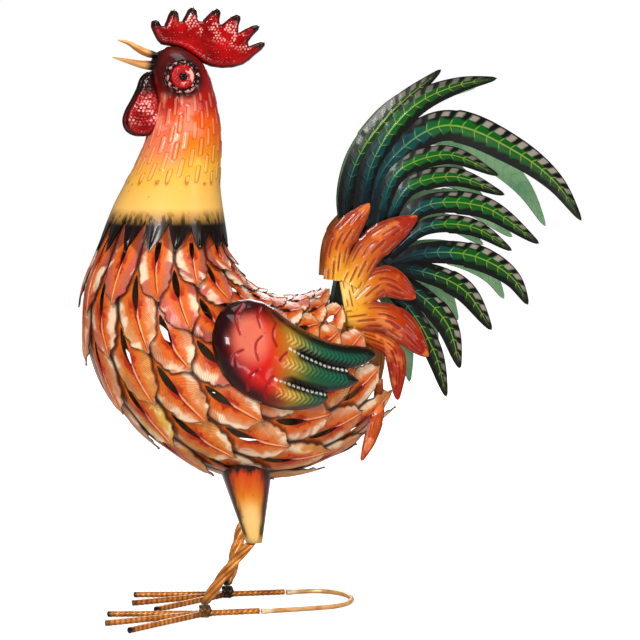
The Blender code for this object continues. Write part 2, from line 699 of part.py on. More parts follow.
def build_foot(side, word):
    """Three front toes, a rear rod and a weld pad, joined."""
    name = "foot_" + word
    x, y = FOOT_JUNCTION[side]
    z = rod_height(TOE_RADIUS)
    parts = []
    for length, angle in zip(TOE_LENGTHS, TOE_ANGLES):
        a = math.radians(angle)
        start = (x + 2 * math.cos(a), y - 2 * math.sin(a), z)
        end = (x - length * math.cos(a), y + length * math.sin(a), z)
        parts.append(rod(name, [start, end], TOE_RADIUS, "copper"))
    rear = (x + REAR_ROD_LENGTHS[side], LOOP_CENTRE_Y + side * LOOP_HALF_WIDTH, z)
    parts.append(rod(name, [(x - 2, y, z), rear], TOE_RADIUS, "copper"))
    rings = []
    for height, radius in ((0.6, PAD_RADIUS), (PAD_HEIGHT * 0.55, PAD_RADIUS), (PAD_HEIGHT, 4.0)):
        rings.append([Vector((x + radius * math.cos(t), y + radius * math.sin(t), height))
                      for t in (k * math.pi / 4 for k in range(8))])
    parts.append(loft(name, rings, "copper"))
    return unite(parts)


def build_loop():
    """Wire that runs back from one foot's rear rod, round a half circle, to the other's."""
    z = rod_height(LOOP_RADIUS)
    ends = {side: FOOT_JUNCTION[side][0] + REAR_ROD_LENGTHS[side] + GAP for side in (LEFT, RIGHT)}
    points = [(ends[LEFT], LOOP_CENTRE_Y - LOOP_HALF_WIDTH, z)]
    for k in range(LOOP_STEPS + 1):
        t = math.pi * (k / LOOP_STEPS - 0.5)
        points.append((LOOP_CENTRE_X + LOOP_HALF_WIDTH * math.cos(t),
                       LOOP_CENTRE_Y + LOOP_HALF_WIDTH * math.sin(t), z))
    points.append((ends[RIGHT], LOOP_CENTRE_Y + LOOP_HALF_WIDTH, z))
    return rod("support_loop", points, LOOP_RADIUS, "wire")


def centre_on_base():
    """Move the bird so that the middle of its box's bottom is the origin."""
    graph = bpy.context.evaluated_depsgraph_get()
    corners = []
    for obj in bpy.data.objects:
        corners += [v.co for v in obj.evaluated_get(graph).data.vertices]
    corners = np.array(corners)
    low, high = corners.min(axis=0), corners.max(axis=0)
    holder = bpy.data.objects.new("rooster", None)
    bpy.context.scene.collection.objects.link(holder)
    for obj in bpy.data.objects:
        if obj is not holder:
            obj.parent = holder
    holder.location = (-(low[0] + high[0]) / 2, -(low[1] + high[1]) / 2, -low[2])


def main():
    for old in list(bpy.data.objects):
        bpy.data.objects.remove(old)
    build_body()
    build_neck()
    build_comb()
    build_beaks()
    build_eyes()
    build_wattles()
    build_tail()
    build_tufts()
    build_wings()
    for side, word in ((LEFT, "left"), (RIGHT, "right")):
        build_thigh(side, word)
        build_shank(side, word)
        build_foot(side, word)
    build_loop()
    centre_on_base()


main()
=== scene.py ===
# Looks of the sheet-metal rooster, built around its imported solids.
# Lengths are millimetres in the bird's own frame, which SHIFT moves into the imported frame.

import math
from contextlib import contextmanager

import bmesh
import bpy
import numpy as np
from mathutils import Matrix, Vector


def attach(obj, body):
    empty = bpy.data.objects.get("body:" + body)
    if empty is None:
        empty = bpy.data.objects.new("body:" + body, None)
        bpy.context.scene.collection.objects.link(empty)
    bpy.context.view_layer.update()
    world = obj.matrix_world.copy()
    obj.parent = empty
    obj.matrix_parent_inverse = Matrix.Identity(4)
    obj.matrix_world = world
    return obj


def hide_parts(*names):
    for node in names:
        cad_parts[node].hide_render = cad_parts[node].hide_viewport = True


MM = 0.001
LEFT, RIGHT = -1, 1
SIDES = ((LEFT, "left"), (RIGHT, "right"))

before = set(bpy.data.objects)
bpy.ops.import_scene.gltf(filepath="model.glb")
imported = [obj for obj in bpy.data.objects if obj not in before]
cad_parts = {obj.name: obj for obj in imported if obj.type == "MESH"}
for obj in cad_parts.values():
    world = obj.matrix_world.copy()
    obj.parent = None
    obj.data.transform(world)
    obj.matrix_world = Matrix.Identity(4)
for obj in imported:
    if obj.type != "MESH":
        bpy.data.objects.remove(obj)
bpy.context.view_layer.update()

# The left thigh's end is a ring about a known point, so it gives the shift between the frames.
THIGH_END = {LEFT: (-72.5, -48.0), RIGHT: (-55.5, 48.0)}
KNEE_HEIGHT = 65.0
knee_ring = np.array([v.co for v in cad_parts["thigh_left"].data.vertices
                      if v.co.z < (KNEE_HEIGHT + 0.5) * MM])
SHIFT = (knee_ring.min(axis=0) + knee_ring.max(axis=0)) / 2
SHIFT -= np.array((*THIGH_END[LEFT], KNEE_HEIGHT)) * MM
SHIFT[2] = 0.0

PIVOT_X, PIVOT_Z = -18.0, 318.0
BODY_STATIONS = (
    (-12, 72, 164, 44), (0, 68.5, 176, 50), (14, 64, 195, 68), (30, 59.5, 208, 80), (46, 55, 212, 86),
    (62, 51, 212, 88), (78, 48, 208, 83), (93, 46, 194, 70), (107, 46, 177, 54), (122, 46, 161, 38),
)
FIRST_ROW_ANGLE, ROW_PITCH = 12.4, 13.0
LEAF_ROWS, LEAVES_ROUND = 8, 12
LEAF_TIP_RISE = 6.5
GAP = 0.3
SHEET = 1.5

NECK_RINGS = (
    (-173.5, 370, -90, 370, 38), (-162, 391, -89.2, 391, 32), (-154.5, 409, -88.8, 411, 28.5),
    (-148.5, 429, -91.2, 431, 26), (-145.8, 446, -94.8, 448, 24.5), (-147.8, 460, -98.5, 462, 23.5),
    (-150.2, 473, -104.5, 473, 20.5), (-146.0, 482, -114.0, 481, 14), (-137.0, 487, -124.0, 487, 5),
)
TEETH = 16
COMB_OUTLINE = (
    (-140.9, 488.7), (-144.4, 492.4), (-147.4, 498.2), (-149.6, 503.4), (-149.3, 507.5),
    (-147.3, 509.6), (-144.3, 509.9), (-141.7, 508.6), (-140.1, 505.3), (-138.1, 505),
    (-136.2, 508.9), (-134.3, 514.2), (-132, 517.7), (-128.9, 518.8), (-126, 517.5),
    (-125.1, 513.5), (-124.7, 509.1), (-122.5, 509.1), (-120, 513.2), (-117.6, 518),
    (-114.8, 520.7), (-111.8, 521), (-109.6, 518.9), (-109, 514), (-108, 509.9), (-104.8, 509.4),
    (-100.3, 513.9), (-95.8, 518.3), (-92.1, 520.5), (-89.2, 519.8), (-88.5, 516.1),
    (-89.7, 510.2), (-89, 506.1), (-84.5, 509.7), (-79.6, 513.6), (-74.7, 515.8), (-71.4, 514.9),
    (-70.9, 511.1), (-72.9, 505.2), (-72.9, 500.2), (-67.4, 503.3), (-61.3, 506.3),
    (-56.3, 507.3), (-54, 505.5), (-55.4, 502.1), (-60.7, 496.9), (-64.4, 491.7), (-63.8, 489),
    (-58.5, 491), (-53.3, 492.8), (-49.8, 492.3), (-49.4, 489.2), (-52.7, 485.1), (-58.3, 480.8),
    (-63.4, 476.2), (-69.3, 472.4), (-77.9, 469.9), (-87.7, 469.2), (-97.5, 470.4),
    (-104.1, 473), (-109.6, 476.7), (-115.6, 481.6), (-124, 485.7), (-133.7, 487.5),
)
WATTLE_OUTLINE = (
    (-151, 466), (-157.5, 461), (-161, 452), (-166, 442), (-171, 433), (-173.5, 424), (-171, 416),
    (-164, 411.5), (-156, 411), (-148, 415.5), (-144, 424.5), (-143, 435), (-145, 445), (-148, 456),
)
OUTLINE_STEPS = 5
BEAD_PITCH, WING_BARB_PITCH = 4.6, 4.4
WING_OUTLINE = (
    (-118.7, 239.8), (-118, 248.7), (-114.9, 258.2), (-109.7, 266.4), (-102.5, 272),
    (-93.3, 275.2), (-82.8, 276), (-71.6, 273.2), (-60.3, 266.6), (-48.4, 257.6), (-36.4, 249.8),
    (-22.9, 242.6), (-9.5, 237.1), (4.1, 233.8), (17.7, 232.1), (28.6, 229.7), (35.5, 225.8),
    (37, 222.8), (34.1, 220.4), (28.6, 217.7), (20.4, 215.3), (12.3, 214.2), (4.8, 214.2),
    (8.2, 209.4), (13, 206.6), (17, 203.4), (16.5, 201.5), (10.9, 199.4), (2.8, 197.5),
    (-6.7, 196.7), (-14.8, 196.5), (-18.6, 196.1), (-16.7, 194), (-15.4, 191.3), (-18.2, 187.8),
    (-25.6, 184.9), (-36.4, 183.2), (-48.5, 183), (-60.5, 184.3), (-71.1, 187.3), (-81.7, 191.7),
    (-92.2, 197.6), (-102.7, 205.7), (-110.6, 215.2), (-115.7, 226.9),
)
WING_FOLDS = (
    ((-52.4, 236.7), (-41.7, 230.9), (-31, 225.7), (-17.6, 219.8), (-6.7, 216.8), (4.8, 214.2)),
    ((-67.7, 212.8), (-60.4, 210.4), (-47.1, 205), (-33.7, 200.2), (-18.6, 196.1)),
)
WING_CRESTS = (
    ((-56.4, 246.3), (-43.1, 238.8), (-27.1, 231.3), (-10.9, 226.3), (9.4, 221.1), (28, 222)),
    ((-62.4, 225.8), (-48.4, 221.6), (-32.4, 216.5), (-15, 210.2), (5.3, 204.3)),
    ((-69.7, 201.6), (-59.1, 198.6), (-43.1, 194.2), (-27.1, 192), (-19, 191.4)),
)
WING_STROKES = (
    ((-91.2, 271.9), (-97.7, 264.4), (-99, 257.4), (-97.1, 249.1)),
    ((-75.5, 269.2), (-78.4, 264.6), (-79, 259.5), (-78.1, 254)),
    ((-62.3, 256.5), (-66.9, 250.2), (-68, 244.5), (-65.9, 238.3)),
    ((-78.1, 246.7), (-84.1, 241.1), (-85.1, 235.3), (-83.4, 228.3)),
    ((-95.6, 236.9), (-101.7, 233.9), (-104.4, 229.5), (-104, 225)),
    ((-83.5, 220.6), (-90.7, 215), (-92.3, 209.3), (-91.4, 202.9)),
    ((-71, 213.8), (-76.5, 207.5), (-78.3, 201.8), (-76.3, 195.3)),
    ((-56.7, 232.9), (-61, 230.2), (-64.4, 227.1)),
)
EYE_CENTRE, EYE_RADIUS = (-127.5, 461), 14.3
EYE_X = EYE_CENTRE[0] * MM + SHIFT[0]
# Beaks: rows of place along X, height of the top and of the underside, and half width.
UPPER_BEAK = ((-178, 492.6, 491.4, 0.5), (-169.5, 491.9, 487.4, 3), (-161, 488.6, 480.8, 5.5),
              (-153, 485.4, 477, 7.5), (-140, 481, 476, 8.5))
LOWER_BEAK = ((-183, 478.2, 477.2, 0.5), (-170, 477.2, 472.4, 3), (-158, 476.4, 468.4, 5.5),
              (-151, 476.3, 467, 7), (-140, 476.3, 465, 8))

TAIL_ROOT = (((14, 258), (25, 290), (39, 326)), 11)
TAIL_FEATHERS = (
    (((20, 331), (19.5, 358), (27, 387), (54.5, 428), (101, 469)), 8.5),
    (((31, 328), (42, 390), (83, 441.5), (116, 455.5), (149, 461.5)), 10),
    (((34, 322), (54, 386), (101, 420), (163, 399), (200, 371), (224, 337)), 13.5),
    (((43, 321), (67, 383), (105, 395), (151, 377)), 8.5),
    (((48, 316), (75, 368), (108, 376), (157, 360)), 8.5),
    (((54, 312), (84, 349), (132, 351), (187, 317)), 9.5),
    (((56, 307), (88, 332), (127, 332), (163, 311)), 7.5),
    (((54, 299), (88, 309), (136, 304), (165, 285), (178, 263)), 10.5),
    (((51, 296), (80, 294), (119, 278), (146, 241)), 9.5),
    (((50, 293), (77, 277), (106, 248), (119, 207)), 9.5),
    (((48, 287), (70, 265), (95, 223), (107, 182)), 8),
)
FLAME_ROOT = (((20, 286), (25, 260), (23, 235), (18, 200)), 9)
FLAME_FEATHERS = (
    (((8, 286), (12, 316), (38, 353)), 11),
    (((22, 282), (38, 312), (79, 342)), 13),
    (((26, 268), (50, 285), (78, 270)), 13),
    (((18, 252), (52, 253), (88, 219)), 13),
    (((26, 241), (56, 226), (62, 180.5)), 8),
)
TUFT_FEATHER = (((46, 200), (44, 183), (40, 166), (34.5, 149), (26, 129.5)), 6.0)
TUFT_Y = 38.0
# How much further each right feather's tip lies from its place, from the first to the last.
FAR_TIP_SHIFTS = ((-6, -4), (0, 0), (5, -1), (0, 0), (3, 3), (7.5, 8), (1, 6.5), (10, 4.5), (-5.5, 7),
                  (0, 0), (-14, 10))
FEATHER_PIVOT, FAR_TAIL_TURN, FAR_TAIL_SHIFT = (34, 320), -2.5, 6.0
RIDGE, FEATHER_STEP = 2.2, 0.4
BARB_PITCH, BARB_LEAN = 11.0, 7.0
DASH_LINES, DASH_PITCH, DASH_DEPTH = 2.4, 25, 0.6
TAIL_SHADES = (0.9, 0.6, 0.1, 0.0, 0.0, 0.0, 0.0, 0.1, 0.25, 0.6, 0.6, 0.7)
TAIL_MARKS = (0.0, 0.5, 0.4, 1.0, 0.5, 0.6, 0.7, 0.6, 1.0, 0.9, 0.9, 0.4)

THIGH_TOP = {LEFT: (-79, -38), RIGHT: (-67, 38)}
THIGH_TOP_RADIUS, THIGH_END_RADIUS, THIGH_TOP_HEIGHT = 27.5, 7.0, 150.0
CAP_SHARE = 0.12  # of the thigh's skin, which closes its lower end
FOOT_JUNCTION = {LEFT: (-113, -35), RIGHT: (-77, 33)}
REAR_ROD_LENGTHS = {LEFT: 48, RIGHT: 52}
TOES = ((84, 14), (90, -8), (86, -30))
TOE_RADIUS, LOOP_RADIUS = 3.0, 2.3
LOOP_HALF_WIDTH, LOOP_CENTRE_X, LOOP_CENTRE_Y = 33.0, -7.0, -6.0
PAD_HEIGHT, SHANK_LEAN, SHANK_TWIST = 10.0, 2.5, 300.0
SHANK_BOW = {LEFT: 3.0, RIGHT: 0.0}
RIB_PITCH, RIB_HEIGHT = 4.8, 0.35
# Sheet as it is seen: leaves, blades, and the shells of neck and wings.
LEAF_SHEET, PLATE_SHEET, SHELL_SHEET = 0.9, 0.8, 1.0

COAT_IOR, SPECULAR_LEVEL = 1.22, 0.1
SPECK_COLOUR, RIPPLE = (0.05, 0.02, 0.01), 0.04
PAPER_GLOW, SKY_GLOW, SKY_LIGHT = 0.91, 0.82, 0.20
AIM_HEIGHT, CAMERA_DISTANCE, CAMERA_LENS = 0.25, 1.8, 115.02
CAMERA_AZIMUTH, CAMERA_ELEVATION = math.radians(-16), math.radians(5)


# Curves and surfaces, for one value or for arrays of them.

def eased(stations, value):
    """Smooth curve through rows of (key, values), read at any keys."""
    table = np.array(stations, float)
    keys, values = table[:, 0], table[:, 1:]
    slopes = np.gradient(values, keys, axis=0)
    at = np.clip(np.asarray(value, float), keys[0], keys[-1])
    i = np.clip(np.searchsorted(keys, at, side="right") - 1, 0, len(keys) - 2)
    span = (keys[i + 1] - keys[i])[..., None]
    t = (at - keys[i])[..., None] / span
    start = (2 * t**3 - 3 * t**2 + 1) * values[i] + (t**3 - 2 * t**2 + t) * span * slopes[i]
    return start + (3 * t**2 - 2 * t**3) * values[i + 1] + (t**3 - t**2) * span * slopes[i + 1]


def keyed(points):
    """Rows of (length so far, point) for a curve, and its whole length."""
    points = np.array(points, float)
    lengths = np.linalg.norm(np.diff(points, axis=0), axis=1)
    keys = np.concatenate([[0], np.cumsum(lengths)])
    return np.column_stack([keys, points]), keys[-1]


def along_curve(table, length, v, reach):
    """Points of a keyed curve at the shares v of its length, and its direction there."""
    ahead = eased(table, np.minimum(v + reach, 1) * length) - eased(table, np.maximum(v - reach, 0) * length)
    return eased(table, v * length), ahead / np.linalg.norm(ahead, axis=1)[:, None]


def smooth_step(value, low, high):
    t = np.clip((np.asarray(value, float) - low) / (high - low), 0, 1)
    return t * t * (3 - 2 * t)


def body_point(angle, turn, lift=0.0):
    """Point on the body: sweep angle, turn round the section (0 at the belly), lift outwards."""
    back, belly, half_width = np.moveaxis(eased(BODY_STATIONS, angle), -1, 0)
    centre, half_height = (back + belly) / 2, (belly - back) / 2
    out_r, out_y = np.cos(turn) / half_height, np.sin(turn) / half_width
    size = np.hypot(out_r, out_y)
    radius = centre + half_height * np.cos(turn) + lift * out_r / size
    a = np.radians(angle)
    return np.stack([PIVOT_X - radius * np.cos(a), half_width * np.sin(turn) + lift * out_y / size,
                     PIVOT_Z - radius * np.sin(a)], axis=-1)


def body_half_width(x, z, lift):
    """Half width of the body, grown by lift, at a place seen from the side (0 outside it)."""
    dx, dz = PIVOT_X - np.asarray(x, float), PIVOT_Z - np.asarray(z, float)
    stations = eased(BODY_STATIONS, np.degrees(np.arctan2(dz, dx)))
    back, belly, half_width = np.moveaxis(stations, -1, 0)
    centre, half_height = (back + belly) / 2, (belly - back) / 2 + lift
    share = (np.hypot(dx, dz) - centre) / half_height
    return (half_width + lift) * np.sqrt(np.maximum(0.0, 1 - share * share))


def distance_to(points, line, closed=False):
    """Distance of each point to a line of segments, the nearest point on it and how far along it is."""
    line = np.array(line, float)
    starts = line if closed else line[:-1]
    ends = np.roll(line, -1, axis=0) if closed else line[1:]
    steps = ends - starts
    lengths = np.linalg.norm(steps, axis=1)
    offset = points[:, None, :] - starts[None]
    share = np.clip((offset * steps).sum(axis=2) / (lengths**2), 0, 1)
    nearest = starts + share[..., None] * steps
    gaps = np.linalg.norm(points[:, None, :] - nearest, axis=2)
    best = gaps.argmin(axis=1)
    rows = np.arange(len(points))
    run = np.concatenate([[0], np.cumsum(lengths)])[best] + share[rows, best] * lengths[best]
    return gaps[rows, best], nearest[rows, best], run


def inside(points, outline):
    """Which points lie inside a closed outline."""
    outline = np.array(outline, float)
    after = np.roll(outline, -1, axis=0)
    x, z = points[:, 0][:, None], points[:, 1][:, None]
    spans = (outline[:, 1] > z) != (after[:, 1] > z)
    rise = np.where(after[:, 1] == outline[:, 1], 1.0, after[:, 1] - outline[:, 1])
    crossing = outline[:, 0] + (z - outline[:, 1]) * (after[:, 0] - outline[:, 0]) / rise
    return (spans & (x < crossing)).sum(axis=1) % 2 == 1


def pebbles(points, pitch, seed):
    """Height from 0 to 1 of a field of round bumps at jittered places."""
    low, high = points.min(axis=0) - pitch, points.max(axis=0) + pitch
    across = np.arange(low[0], high[0], pitch)
    up = np.arange(low[1], high[1], pitch * 0.87)
    gx, gz = np.meshgrid(across, up)
    gx = gx + (np.arange(len(up)) % 2)[:, None] * pitch / 2
    centres = np.column_stack([gx.ravel(), gz.ravel()])
    centres += np.random.default_rng(seed).uniform(-0.18, 0.18, centres.shape) * pitch
    gaps = np.full(len(points), np.inf)
    for centre in centres:
        gaps = np.minimum(gaps, np.hypot(points[:, 0] - centre[0], points[:, 1] - centre[1]))
    return np.clip(1 - (gaps / (0.56 * pitch))**2, 0, 1)


# Meshes.

def positions(piece):
    flat = np.empty(len(piece.data.vertices) * 3)
    piece.data.vertices.foreach_get("co", flat)
    return flat.reshape(-1, 3)


def shape(piece, points):
    """Moves the corners of a piece to points in the bird's frame."""
    piece.data.vertices.foreach_set("co", (np.asarray(points) * MM + SHIFT).astype(np.float32).ravel())
    piece.data.update()


def tag(piece, **facts):
    """Keeps numbers with each corner, for the finish to read."""
    for name, values in facts.items():
        layer = piece.data.attributes.new(name, "FLOAT", "POINT")
        layer.data.foreach_set("value", np.broadcast_to(values, len(piece.data.vertices)).astype(np.float32))


def select(*pieces):
    bpy.ops.object.select_all(action="DESELECT")
    for piece in pieces:
        piece.select_set(True)
    bpy.context.view_layer.objects.active = pieces[0]


def twin(piece):
    """Copy of a piece with a mesh of its own."""
    copy = piece.copy()
    copy.data = piece.data.copy()
    bpy.context.scene.collection.objects.link(copy)
    return copy


def sheet_of_quads(name, across, along):
    """Fresh grid, with each corner's place in it: u from -1 to 1 across, v from 0 to 1 along."""
    bpy.ops.object.select_all(action="DESELECT")
    bpy.ops.mesh.primitive_grid_add(x_subdivisions=across, y_subdivisions=along, size=2)
    piece = bpy.context.object
    piece.name = piece.data.name = name
    flat = positions(piece)
    return piece, flat[:, 0].copy(), (flat[:, 1] + 1) / 2


def close_seams(piece, threshold=0.00002, outwards=True):
    """Merges corners that meet, such as a tube's seam and poles."""
    select(piece)
    bpy.ops.object.mode_set(mode="EDIT")
    bpy.ops.mesh.select_all(action="SELECT")
    bpy.ops.mesh.remove_doubles(threshold=threshold)
    if outwards:
        bpy.ops.mesh.normals_make_consistent(inside=False)
    bpy.ops.object.mode_set(mode="OBJECT")


@contextmanager
def loose_mesh(piece):
    """The mesh of a piece, to cut or fill, which goes back into it at the end."""
    form = bmesh.new()
    form.from_mesh(piece.data)
    form.verts.ensure_lookup_table()
    yield form
    form.to_mesh(piece.data)
    form.free()


def join(name, pieces):
    select(*pieces)
    bpy.ops.object.join()
    pieces[0].name = pieces[0].data.name = name
    return pieces[0]


def settle(piece, materials, node, angle=40, sheet=0.0):
    """Finishes a piece, gives a sheet its metal inwards from the face that shows, lets the piece ride on
    the bird and hides the imported part that it stands in for."""
    for material in materials:
        piece.data.materials.append(material)
    select(piece)
    if sheet:
        wall = piece.modifiers.new("wall", "SOLIDIFY")
        wall.thickness = sheet * MM
        wall.offset = -1
        wall.material_offset = len(materials) - 1
        bpy.ops.object.modifier_apply(modifier="wall")
    bpy.ops.object.shade_smooth_by_angle(angle=math.radians(angle))
    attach(piece, "root")
    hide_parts(node)


def cut_sheet(name, outline, pitch):
    """Fine flat grid in the side view, trimmed to an outline, with its rim drawn onto the outline."""
    outline = np.array(outline, float)
    low, high = outline.min(axis=0) - pitch, outline.max(axis=0) + pitch
    counts = np.ceil((high - low) / pitch).astype(int)
    piece, u, v = sheet_of_quads(name, int(counts[0]), int(counts[1]))
    flat = np.column_stack([low[0] + (u + 1) / 2 * counts[0] * pitch, low[1] + v * counts[1] * pitch])
    gap, _, _ = distance_to(flat, outline, closed=True)
    signed = np.where(inside(flat, outline), gap, -gap)
    shape(piece, np.column_stack([flat[:, 0], np.zeros(len(flat)), flat[:, 1]]))
    with loose_mesh(piece) as form:
        outer = [v for v in form.verts if signed[v.index] < -0.4 * pitch]
        bmesh.ops.delete(form, geom=outer, context="VERTS")
        bmesh.ops.delete(form, geom=[v for v in form.verts if not v.link_faces], context="VERTS")
        rim = np.array([v.is_boundary for v in form.verts])
    points = (positions(piece) - SHIFT) / MM
    flat = points[:, (0, 2)]
    flat[rim] = distance_to(flat, outline, closed=True)[1][rim]
    return piece, flat, rim


def round_off(depth, reach):
    """Quarter-ellipse rise from 0 at an edge to 1 at a depth of reach."""
    return np.sqrt(1 - (1 - np.clip(depth / reach, 0, 1))**2)


# Finishes.

class Paint:
    """A lacquer laid on in coats. Values are numbers, colours or sockets, and a mask may also be a rule,
    (value, low, high), for a smooth step."""

    def __init__(self, name, roughness=0.3, metallic=0.0, coat=1.0, coat_roughness=0.08):
        self.material = bpy.data.materials.new(name)
        self.material.use_nodes = True
        self.tree = self.material.node_tree
        self.shader = self.tree.nodes["Principled BSDF"]
        self.roughness = roughness
        for key, value in (("Metallic", metallic), ("Coat Weight", coat), ("Coat Roughness", coat_roughness),
                           ("IOR", 1.5), ("Specular IOR Level", SPECULAR_LEVEL), ("Coat IOR", COAT_IOR)):
            self.shader.inputs[key].default_value = value
        self.object_place = self.node("TexCoord").outputs["Object"]
        self.x, _, self.z = self.node("SeparateXYZ", self.object_place).outputs

    def feed(self, socket, value):
        if isinstance(value, bpy.types.NodeSocket):
            self.tree.links.new(value, socket)
        elif isinstance(value, tuple) and len(value) == 3 and socket.type == "RGBA":
            socket.default_value = (*value, 1)
        else:
            socket.default_value = value

    def node(self, kind, *values, **settings):
        made = self.tree.nodes.new("ShaderNode" + kind)
        for key, value in settings.items():
            setattr(made, key, value)
        for socket, value in zip(made.inputs, values):
            self.feed(socket, value)
        return made

    def math(self, operation, *values, clamp=False):
        return self.node("Math", *values, operation=operation, use_clamp=clamp).outputs[0]

    def add(self, first, second):
        return self.math("ADD", first, second)

    def times(self, first, second):
        return self.math("MULTIPLY", first, second)

    def scaled(self, value, factor, offset):
        return self.math("MULTIPLY_ADD", value, factor, offset)

    def mix(self, share, first, second):
        made = self.node("Mix", data_type="RGBA")
        for number, value in ((0, share), (6, first), (7, second)):
            self.feed(made.inputs[number], value)
        return made.outputs[2]

    def step(self, value, low, high):
        """0 at low, 1 at high, smooth between them; low may be the larger."""
        return self.node("MapRange", value, low, high, interpolation_type="SMOOTHSTEP").outputs[0]

    def ramp(self, value, *stops):
        """Colours along a value, from rows of place, red, green and blue."""
        made = self.node("ValToRGB", value)
        elements = made.color_ramp.elements
        while len(elements) < len(stops):
            elements.new(0.5)
        for element, (place, *colour) in zip(elements, stops):
            element.position = place
            element.color = (*colour, 1)
        return made.outputs[0]

    def noise(self, scale, detail, distortion=0.0, vector=None):
        made = self.node("TexNoise", vector or self.object_place)
        for key, value in (("Scale", scale), ("Detail", detail), ("Distortion", distortion)):
            made.inputs[key].default_value = value
        return made.outputs[0]

    def wobble(self, width, *noise):
        """Noise centred on 0."""
        return self.scaled(self.noise(*noise), width, -width / 2)

    def grain(self, stretch, detail, distortion=0.0):
        """Noise drawn out into fibres."""
        place = self.node("Mapping", self.object_place)
        place.inputs["Scale"].default_value = stretch
        return self.noise(1.0, detail, distortion, place.outputs[0])

    def facts(self, names):
        return [self.node("Attribute", attribute_name=name).outputs["Fac"] for name in names.split()]

    def combined(self, operation, masks):
        masks = [self.step(*mask) if isinstance(mask, tuple) else mask for mask in masks]
        result = masks[0]
        for mask in masks[1:]:
            result = self.math(operation, result, mask)
        return result

    def either(self, *masks):
        return self.combined("MAXIMUM", masks)

    def both(self, *masks):
        return self.combined("MULTIPLY", masks)

    def bars(self, value, pitch, low, high, soft):
        """Stripes across a running length: 1 between the shares low and high of each pitch."""
        run = self.math("FRACT", self.math("DIVIDE", value, pitch))
        return self.both((run, low - soft, low + soft), (run, high + soft, high - soft))

    def ground(self, value, *stops):
        """The first coat."""
        self.colour = self.ramp(value, *stops)

    def lay(self, colour, strength, *masks):
        """Lays a colour over the coats so far, where all the masks are 1."""
        share = self.both(*masks)
        self.colour = self.mix(self.times(share, strength) if strength < 1 else share, self.colour, colour)

    def finish(self, height=None, depth=0.0):
        """Puts the colour, relief and wear on the shader."""
        wear = self.tree.nodes.new("ShaderNodeGroup")
        wear.node_tree = enamel_wear
        self.feed(wear.inputs["Place"], self.object_place)
        specked = self.mix(wear.outputs["Specks"], self.colour, SPECK_COLOUR)
        self.feed(self.shader.inputs["Base Color"], specked)
        spread = self.scaled(wear.outputs["Shine"], 0.16, -0.08)
        self.feed(self.shader.inputs["Roughness"], self.math("ADD", spread, self.roughness, clamp=True))
        relief = self.times(wear.outputs["Ripple"], RIPPLE)
        if height is not None:
            relief = self.scaled(height, depth, relief)
        bump = self.node("Bump")
        for key, value in (("Strength", 1.0), ("Distance", MM), ("Height", relief)):
            self.feed(bump.inputs[key], value)
        self.feed(self.shader.inputs["Normal"], bump.outputs[0])
        return self.material


def build_wear():
    """Group of effects that every finish shares: ripple in the lacquer, uneven shine and dark specks."""
    group = bpy.data.node_groups.new("enamel_wear", "ShaderNodeTree")
    group.interface.new_socket("Place", in_out="INPUT", socket_type="NodeSocketVector")
    for name in ("Ripple", "Shine", "Specks"):
        group.interface.new_socket(name, in_out="OUTPUT", socket_type="NodeSocketFloat")
    place, out = group.nodes.new("NodeGroupInput"), group.nodes.new("NodeGroupOutput")

    def noise(scale, detail):
        made = group.nodes.new("ShaderNodeTexNoise")
        made.inputs["Scale"].default_value = scale
        made.inputs["Detail"].default_value = detail
        group.links.new(place.outputs[0], made.inputs["Vector"])
        return made.outputs[0]

    group.links.new(noise(420, 2), out.inputs["Ripple"])
    group.links.new(noise(70, 4), out.inputs["Shine"])
    specks = group.nodes.new("ShaderNodeMapRange")
    specks.interpolation_type = "SMOOTHSTEP"
    for key, value in (("From Min", 0.69), ("From Max", 0.76), ("To Max", 0.55)):
        specks.inputs[key].default_value = value
    group.links.new(noise(230, 3), specks.inputs["Value"])
    group.links.new(specks.outputs[0], out.inputs["Specks"])
    return group


enamel_wear = build_wear()


def leaf_enamel():
    paint = Paint("leaf_enamel", roughness=0.36, coat=0.5, coat_roughness=0.16)
    tint, reach, across, slit, cover = paint.facts("tint reach across slit cover")
    side = paint.math("ABSOLUTE", across)
    patch = paint.noise(38, 3, 0.6)
    paint.ground(tint, (0.0, 0.26, 0.014, 0.012), (0.12, 0.60, 0.10, 0.075), (0.34, 0.68, 0.24, 0.13),
                 (0.58, 0.74, 0.32, 0.14), (0.78, 0.78, 0.30, 0.035), (1.0, 0.84, 0.50, 0.08))
    away = paint.step(slit, 5.0, 11.0)
    paint.lay((0.40, 0.14, 0.075), 0.55, (patch, 0.46, 0.34), away)
    # Painted highlight: cream-white patches where the gloss would catch the light.
    paint.lay((1.0, 0.76, 0.50), 0.9, (patch, 0.47, 0.57), away)
    near = paint.add(slit, paint.wobble(14.0, 120, 4, 1.0))
    paint.lay((0.74, 0.13, 0.006), 0.96, (near, 13.0, 6.0))
    paint.lay((0.42, 0.008, 0.003), 0.96, (near, 5.5, 2.0), (reach, 0.36, 0.54))
    run = paint.scaled(paint.noise(60, 2), 0.03, paint.scaled(side, -0.26, reach))
    lines = paint.bars(run, 0.023, 0.36, 0.64, 0.20)
    paint.lay((0.22, 0.045, 0.014), 0.72, lines)
    below = paint.step(reach, 0.52, 0.60)
    paint.lay((0.28, 0.008, 0.004), 0.85, (across, 0.10, 0.03), (across, -0.02, 0.01), below)
    # Painted highlight: a pale line along one side of the raised vein.
    paint.lay((0.98, 0.60, 0.32), 0.45, (across, -0.12, -0.05), (across, 0.02, -0.03), below)
    # Painted shadow: darker within 4.5 mm of where the leaf of the row above overlaps this one.
    paint.lay((0.14, 0.016, 0.005), 0.75, (cover, 4.5, 0.0))
    # Dark rim along each leaf's edge: partly the dark cut edge of the sheet, partly painted shade between
    # overlapping leaves.
    paint.lay((0.032, 0.008, 0.004), 0.9, (paint.scaled(paint.noise(90, 2), 0.16, side), 0.92, 1.06))
    return paint.finish(lines, -0.3)


